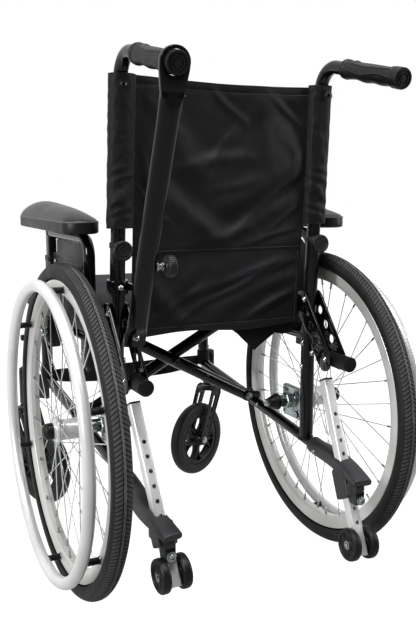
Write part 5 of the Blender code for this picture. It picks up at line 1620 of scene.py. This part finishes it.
def back():
    ni, nj = 170, 210
    half = 0.1715
    grid = []
    for j in range(nj + 1):
        v = j / nj
        row = []
        for i in range(ni + 1):
            x = -half + 2 * half * i / ni
            z = panel_low(x) + (panel_top(x) - panel_low(x)) * v
            row.append(Vector((x, panel_y(x, z), z)))
        grid.append(row)
    panel = cloth_shell(grid, Vector((0, -0.0022, 0)))
    # rolled hem along the top
    hem = [Vector((-half + 2 * half * i / 120, 0, 0)) for i in range(121)]
    hem = [Vector((p.x, panel_y(p.x, panel_top(p.x)) - 0.0011, panel_top(p.x))) for p in hem]
    trims = [(sweep(hem, lambda i, t: (0.0016, 0.0016), 10, (0, 0, 1)), NYLON)]
    low = [Vector((p.x, panel_y(p.x, panel_low(p.x)) - 0.0011, panel_low(p.x))) for p in hem]
    trims.append((sweep(low, lambda i, t: (0.0015, 0.0015), 10, (0, 0, 1)), NYLON))
    # hanging corner of the seat cloth behind the lower edge
    edge = [(0.020, 0.486), (-0.020, 0.484), (-0.046, 0.466), (-0.080, 0.432), (-0.108, 0.450), (-0.128, 0.462), (-0.146, 0.458), (-0.168, 0.462)]

    def edge_z(x):
        for (a, za), (b, zb) in zip(edge, edge[1:]):
            if b <= x <= a:
                t = (x - a) / (b - a)
                return za + (zb - za) * t
        return edge[-1][1]
    grid = []
    for j in range(31):
        v = j / 30
        row = []
        for i in range(71):
            x = -0.168 + 0.186 * i / 70
            z0 = edge_z(x)
            z = z0 + (0.4960 - z0) * v
            y = up_y(z) - 0.0060 + 0.0022 * math.sin(x * 60.0) * (1 - v) + 0.004 * (1 - v) * noise.noise(Vector((x * 30, z * 20, 1.0)))
            row.append(Vector((x, y, z)))
        grid.append(row)
    flap = cloth_shell(grid, Vector((0, -0.0016, 0)))
    ob = put("back_panel_v", joined([(panel, NYLON), (flap, NYLON_DARK)]), [NYLON], "left_frame", ("back_upholstery",), 50)
    seams = []
    for z, lift in ((0.6310, 0.0), (0.4915, 0.0)):
        line = [Vector((-half + 0.003 + (2 * half - 0.006) * i / 150, 0, z)) for i in range(151)]
        line = [Vector((p.x, panel_y(p.x, z) + 0.0001, z)) for p in line]
        seams.append((stitches(line, (0, 1, 0)), THREAD))
    line = []
    for i in range(151):
        x = -half + 0.003 + (2 * half - 0.006) * i / 150
        z = panel_top(x) - 0.0130
        line.append(Vector((x, panel_y(x, z) + 0.0001, z)))
    seams.append((stitches(line, (0, 1, 0)), THREAD))
    for s in (1, -1):
        line = []
        for i in range(120):
            z = 0.4860 + (0.6270 - 0.4860) * i / 119
            x = s * (half - 0.0060)
            line.append(Vector((x, panel_y(x, z) + 0.0001, z)))
        seams.append((stitches(line, (0, 1, 0)), THREAD))
    trim = put("back_trim_v", joined(trims + seams), [THREAD], "left_frame", (), 60)
    for o in (ob, trim):
        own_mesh(o)
    for s, side in SIDES:
        sleeve(s, side)


def sleeve(s, side):
    """Cloth sleeve round an upright, wider inboard where it is sewn to the back."""
    z0, z1 = 0.6740, 0.9265
    nj, ni = 110, 84
    rows_out, rows_in = [], []
    for j in range(nj + 1):
        v = j / nj
        z = z0 + (z1 - z0) * v
        c = upright(s, z)
        ro, ri = [], []
        for i in range(ni):
            a = 2 * math.pi * i / ni
            ca, sa = math.cos(a), math.sin(a)
            inboard = ca * s < 0
            ax = 0.0268 if inboard else 0.0208
            ay = 0.0166
            e = 0.86 if inboard else 0.94
            u = math.copysign(abs(ca) ** e, ca)
            w = math.copysign(abs(sa) ** (1.28 if inboard else 1.0), sa)
            low_w = math.exp(-((v - 0.22) / 0.20) ** 2)
            wr = 0.0019 * low_w * math.sin(z * 260.0 + ca * 3.2 * s + 1.4 * math.sin(z * 90.0)) * max(0.0, sa)
            wr += 0.0024 * noise.noise(Vector((c.x * 8 + ca * 1.4, sa * 1.1 + 5.0 * s, z * 34))) * (0.5 + low_w)
            wr += 0.0014 * noise.noise(Vector((ca * 3.0, sa * 3.0 + 9.0 * s, z * 90)))
            x = c.x + ax * u + wr * ca * 0.4
            y = c.y + ay * w + wr * 0.9 * sa + 0.0006
            ro.append(Vector((x, y, z)))
            ri.append(Vector((c.x + (ax - 0.0012) * u, c.y + (ay - 0.0012) * w + 0.0006, z)))
        rows_out.append(ro)
        rows_in.append(ri)
    verts = [p for r in rows_out for p in r] + [p for r in rows_in for p in r]
    n = (nj + 1) * ni
    faces = []
    for j in range(nj):
        for i in range(ni):
            k = (i + 1) % ni
            faces.append((j * ni + i, j * ni + k, (j + 1) * ni + k, (j + 1) * ni + i))
            faces.append((n + j * ni + i, n + (j + 1) * ni + i, n + (j + 1) * ni + k, n + j * ni + k))
    for i in range(ni):
        k = (i + 1) % ni
        faces.append((k, i, n + i, n + k))
        faces.append((nj * ni + i, nj * ni + k, n + nj * ni + k, n + nj * ni + i))
    me = mesh_of(verts, faces)
    bm = bmesh.new()
    bm.from_mesh(me)
    bmesh.ops.recalc_face_normals(bm, faces=bm.faces)
    bm.to_mesh(me)
    bm.free()
    body = side + "_frame"
    ob = put(side + "_back_sleeve_v", joined([(me, NYLON)]), [NYLON], body, ("back_upholstery",), 60)

    def on_face(dx, z):
        """Rear face of the sleeve, dx inboard of the upright's centre line."""
        c = upright(s, z)
        u = min(0.999, dx / 0.0268)
        ca = u ** (1 / 0.86)
        sa = math.sqrt(max(0.0, 1 - ca * ca)) ** 1.28
        return Vector((c.x - s * dx, c.y + 0.0166 * sa + 0.0012, z))
    T = []
    line = [on_face(0.0215, z0 + 0.004 + (z1 - z0 - 0.008) * i / 140) for i in range(141)]
    T.append((stitches(line, (0, 1, 0)), THREAD))
    for z in (z0 + 0.0002, z1 - 0.0002):
        c = upright(s, z)
        loop = []
        for i in range(ni):
            a = 2 * math.pi * i / ni
            ca, sa = math.cos(a), math.sin(a)
            inboard = ca * s < 0
            axx = 0.0268 if inboard else 0.0208
            u = math.copysign(abs(ca) ** (0.86 if inboard else 0.94), ca)
            w = math.copysign(abs(sa) ** (1.28 if inboard else 1.0), sa)
            loop.append(Vector((c.x + (axx - 0.0006) * u, c.y + 0.0160 * w + 0.0006, z)))
        T.append((sweep(loop, lambda i, t: (0.0010, 0.0010), 8, (0, 0, 1), False, 0, True), NYLON))
    trim = put(side + "_sleeve_trim_v", joined(T), [THREAD], body, (), 60)


def inflated(me, voxel, pressure, frames, cap):
    """Voxel remesh, then a short cloth run with pressure; returns the relaxed mesh."""
    ob = bpy.data.objects.new("pad_tmp", me)
    WORK.objects.link(ob)
    r = ob.modifiers.new("r", "REMESH")
    r.mode = "VOXEL"
    r.voxel_size = voxel
    bpy.context.view_layer.update()
    dg = bpy.context.evaluated_depsgraph_get()
    start = bpy.data.meshes.new_from_object(ob.evaluated_get(dg))
    ob.modifiers.clear()
    ob.data = start
    rest = np.empty(len(start.vertices) * 3)
    start.vertices.foreach_get("co", rest)
    rest = rest.reshape(-1, 3)
    c = ob.modifiers.new("c", "CLOTH")
    c.settings.quality = 6
    c.settings.mass = 0.3
    c.settings.use_pressure = True
    c.settings.uniform_pressure_force = pressure
    c.settings.effector_weights.gravity = 0.0
    c.settings.tension_stiffness = 30.0
    c.settings.compression_stiffness = 30.0
    c.settings.bending_stiffness = 2.0
    c.point_cache.frame_start, c.point_cache.frame_end = 1, frames
    for f in range(1, frames + 1):
        bpy.context.scene.frame_set(f)
    dg = bpy.context.evaluated_depsgraph_get()
    out = bpy.data.meshes.new_from_object(ob.evaluated_get(dg))
    ob.modifiers.clear()
    co = np.empty(len(out.vertices) * 3)
    out.vertices.foreach_get("co", co)
    co = co.reshape(-1, 3)
    move = co - rest
    ln = np.linalg.norm(move, axis=1, keepdims=True)
    move *= np.minimum(1.0, cap / np.maximum(ln, 1e-9))
    out.vertices.foreach_set("co", (rest + move).ravel())
    out.update()
    bpy.context.scene.frame_set(1)
    bpy.data.objects.remove(ob, do_unlink=True)
    return out


def seat():
    # sling: cloth wrapped over both rails
    prof = []
    for k in range(7):
        a = math.radians(200 - 110 * k / 6)
        prof.append((0.190 - 0.0131 * math.cos(a) * 1.0, 0.482 + 0.0131 * math.sin(a)))
    right = [(-x, z) for x, z in prof]
    line = list(prof)
    line = [(x, z) for x, z in line]
    mid = [(0.190 - 0.380 * i / 60, 0.4951 - 0.0009 * math.sin(math.pi * i / 60)) for i in range(1, 60)]
    full = line + mid + list(reversed(right))
    nj = 120
    grid = []
    for j in range(nj + 1):
        y = -0.4540 + 0.4880 * j / nj
        row = []
        for x, z in full:
            z2 = z + (0.0003 * noise.noise(Vector((x * 30, y * 20, 0))) if abs(x) < 0.17 else 0.0)
            row.append(Vector((x, y, z2)))
        grid.append(row)
    sling = cloth_shell(grid, Vector((0, 0, 0.0012)))
    ob = put("seat_sling_v", joined([(sling, NYLON_DARK)]), [NYLON_DARK], None, ("seat_sling",), 50)
    # cushion: foam block in a sewn cover, crowned, with pulled-in sides
    x0, y0, y1 = 0.2050, -0.5040, 0.0350
    zb, zt = 0.4985, 0.5270
    base = rrect(0, (y0 + y1) / 2, 2 * x0, y1 - y0, 0.020, 6)
    bm = bmesh.new()
    rows = [(0.975, zb), (1.0, zb + 0.0060), (1.0, zt - 0.0060), (0.975, zt)]
    cy = (y0 + y1) / 2
    verts, faces = [], []
    n = len(base)
    for f, z in rows:
        verts += [((p[0]) * (1 - (1 - f) * 0.25), cy + (p[1] - cy) * (1 - (1 - f) * 0.2), z) for p in base]
    for i in range(len(rows) - 1):
        for k in range(n):
            l = (k + 1) % n
            faces.append((i * n + k, i * n + l, (i + 1) * n + l, (i + 1) * n + k))
    faces.append(tuple(range(n - 1, -1, -1)))
    faces.append(tuple((len(rows) - 1) * n + k for k in range(n)))
    bm.free()
    body = inflated(mesh_of(verts, faces), 0.0055, 4.0, 20, 0.0052)
    co = np.empty(len(body.vertices) * 3)
    body.vertices.foreach_get("co", co)
    co = co.reshape(-1, 3)
    for i, p in enumerate(co):
        # flat underneath where it rests on the sling, soft hollows on top
        if p[2] < 0.5010:
            co[i, 2] = max(p[2], 0.4978)
        if p[2] > 0.5200:
            ex = min(1.0, (0.205 - abs(p[0])) / 0.05)
            ey = min(1.0, min(p[1] - y0, y1 - p[1]) / 0.05)
            co[i, 2] += 0.0012 * noise.noise(Vector((p[0] * 14, p[1] * 11, 2.0))) * max(0.0, ex) * max(0.0, ey)
            co[i, 2] = min(co[i, 2], 0.5345)
    body.vertices.foreach_set("co", co.ravel())
    body.update()
    body = subdivided(body, 1)
    mats_of = []
    for p in body.polygons:
        mats_of.append(0 if abs(p.normal.z) > 0.55 else 1)
    body.materials.clear()
    body.materials.append(SEAT_CLOTH)
    body.materials.append(SEAT_SIDE)
    body.polygons.foreach_set("material_index", mats_of)
    skin = BVHTree.FromPolygons([v.co.copy() for v in body.vertices], [tuple(f.vertices) for f in body.polygons])
    cushion = put("seat_cushion_v", body, [SEAT_CLOTH, SEAT_SIDE], None, ("seat_cushion",), 60)
    trim = []
    for z, f in ((0.5250, 1.0), (0.5020, 1.0)):
        loop = rrect(0, cy, 2 * x0 + 0.0030, y1 - y0 + 0.0030, 0.022, 8)
        pts = []
        for p, q in zip(loop, loop[1:] + loop[:1]):
            steps = max(1, int(math.hypot(q[0] - p[0], q[1] - p[1]) / 0.012))
            for k in range(steps):
                t = k / steps
                pts.append(Vector((p[0] + (q[0] - p[0]) * t, p[1] + (q[1] - p[1]) * t, z)))
        pts = [skin.find_nearest(c)[0] for c in pts]
        trim.append((sweep(pts, lambda i, t: (0.0016, 0.0016), 10, (0, 0, 1), False, 0, True), SEAT_SIDE))
    cord = put("cushion_edge_v", joined(trim), [SEAT_SIDE], None, (), 60)
    for o in (ob, cushion, cord):
        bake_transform(o)


def calf():
    pts = []
    ni, nj = 90, 16
    grid = []
    for j in range(nj + 1):
        v = j / nj
        row = []
        for i in range(ni + 1):
            u = -1 + 2 * i / ni
            x = 0.1850 * u
            narrow = 1 - 0.34 * abs(u) ** 3
            sag = 0.0060 * (1 - u * u)
            z = 0.3070 - sag + (v - 0.5) * 0.040 * narrow
            y = -0.4200 + 0.0055 * (1 - u * u) + 0.0016 * math.sin(u * 9 + v * 2.0) + 0.0010 * math.cos(v * math.pi * 2) + 0.0008
            row.append(Vector((x, y, z)))
        grid.append(row)
    strap = cloth_shell(grid, Vector((0, -0.0020, 0)))
    T = []
    for v in (0.12, 0.88):
        row = grid[int(v * nj)]
        T.append((stitches([p + Vector((0, 0.0002, 0)) for p in row], (0, 1, 0)), THREAD))
    ob = put("calf_strap_v", joined([(strap, STRAP)]), [STRAP], "left_frame", ("calf_strap",), 60)
    trim = put("calf_stitch_v", joined(T), [THREAD], "left_frame", (), 60)
    for o in (ob, trim):
        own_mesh(o)
    for s, side in SIDES:
        loops = []
        prof = rounded([(0.0131, -0.0145), (0.0150, -0.0145), (0.0152, 0.0), (0.0150, 0.0145), (0.0131, 0.0145)], 0.0008, 2)
        loops.append((lathe(prof, (s * 0.2, -0.420, 0.3185), (0, 0, 1), 40, 0, True), STRAP))
        loops.append((box((s * 0.1868, -0.4200, 0.3090), (0.0040, 0.0080, 0.0230), 0.0012), PLASTIC))
        put(side + "_calf_loop_v", joined(loops), [STRAP], side + "_frame", ("calf_strap",), 50)


# =====================================================================
# everything in place
# =====================================================================
for sign, word in SIDES:
    side_frame(sign, word)
    axle_mount(sign, word)
    rear_bracket(sign, word)
    push_handle(sign, word)
    rear_wheel(sign, word)
    caster(sign, word)
    armrest(sign, word)
    anti_tip(sign, word)
    wheel_lock(sign, word)
middle_hard()
stabiliser()
back()
seat()
calf()

# =====================================================================
# floor, light, camera
# =====================================================================
mat, nt, b = new_mat("studio_floor", (0.20, 0.20, 0.20), 0.9, 0.0, Specular_IOR_Level=0.0, Emission_Color=(1.0, 1.0, 1.0, 1.0), Emission_Strength=0.90)
v = coord(nt)
nt.links.new(mix_colour(nt, noise_tex(nt, v, 1.5, 2.0), (0.195, 0.195, 0.195), (0.205, 0.205, 0.205)), b.inputs["Base Color"])
FLOOR_TREE, FLOOR_SHADER = nt, b
floor_me = mesh_of([(-9, -9, 0), (9, -9, 0), (9, 9, 0), (-9, 9, 0)], [(0, 1, 2, 3)])
floor_me.materials.append(mat)
floor = bpy.data.objects.new("studio_floor", floor_me)
floor.location.z = -0.0008
WORK.objects.link(floor)

scene = bpy.context.scene
world = bpy.data.worlds.new("studio") if scene.world is None else scene.world
scene.world = world
world.use_nodes = True
wt = world.node_tree
bg = wt.nodes.get("Background") or wt.nodes.new("ShaderNodeBackground")
bg.inputs["Color"].default_value = (1.0, 1.0, 1.0, 1.0)


def by_depth(tree, output, lo, hi, near, far):
    """A strength that falls along +Y from near to far."""
    sep = tree.nodes.new("ShaderNodeSeparateXYZ")
    tree.links.new(output, sep.inputs[0])
    r = ramp(tree, sep.outputs["Y"], lo, hi, near, far)
    r.node.interpolation_type = "SMOOTHSTEP"
    return r


def seen_or(tree, plain, value):
    """The plain level where it is looked at directly, the other where it lights the chair."""
    path = tree.nodes.new("ShaderNodeLightPath")
    m = tree.nodes.new("ShaderNodeMix")
    m.data_type = "FLOAT"
    tree.links.new(path.outputs["Is Camera Ray"], m.inputs[0])
    tree.links.new(value, m.inputs[2])
    m.inputs[3].default_value = plain
    return m.outputs[0]


around = wt.nodes.new("ShaderNodeTexCoord")
wt.links.new(seen_or(wt, 1.0, by_depth(wt, around.outputs["Generated"], -0.15, 0.75, 0.85, 0.05)), bg.inputs["Strength"])
where = FLOOR_TREE.nodes.new("ShaderNodeTexCoord")
FLOOR_TREE.links.new(seen_or(FLOOR_TREE, 0.955, by_depth(FLOOR_TREE, where.outputs["Object"], -0.6, 0.9, 0.70, 0.05)), FLOOR_SHADER.inputs["Emission Strength"])
scene.view_settings.view_transform = "Standard"
scene.view_settings.look = "None"
scene.view_settings.exposure = 0.0
scene.view_settings.gamma = 1.0


def area(name, loc, target, size, power, sy=None):
    li = bpy.data.lights.new(name, "AREA")
    li.shape = "RECTANGLE"
    li.size, li.size_y = size, sy or size
    li.energy = power
    ob = bpy.data.objects.new(name, li)
    WORK.objects.link(ob)
    ob.location = loc
    ob.rotation_euler = (Vector(target) - Vector(loc)).to_track_quat("-Z", "Y").to_euler()
    return ob


area("key", (2.5, 0.95, 1.7), (0, 0.1, 0.65), 0.6, 75, 1.5)
area("fill", (-2.5, 1.3, 1.3), (0, 0, 0.5), 0.5, 34, 1.8)
area("top", (0.1, 0.9, 2.7), (0, 0, 0.5), 0.9, 60)

cam = bpy.data.cameras.new("camera")
cam.lens, cam.sensor_width, cam.sensor_fit = 46.66, 36.0, "AUTO"
cam.clip_start, cam.clip_end = 0.02, 60.0
eye = bpy.data.objects.new("camera", cam)
WORK.objects.link(eye)
eye.location = (0.664, 1.401 + YS, 0.747)
yaw, pitch = math.radians(25.74), math.radians(8.97)
look = Vector((-math.sin(yaw) * math.cos(pitch), -math.cos(yaw) * math.cos(pitch), -math.sin(pitch)))
eye.rotation_euler = look.to_track_quat("-Z", "Y").to_euler()
scene.camera = eye
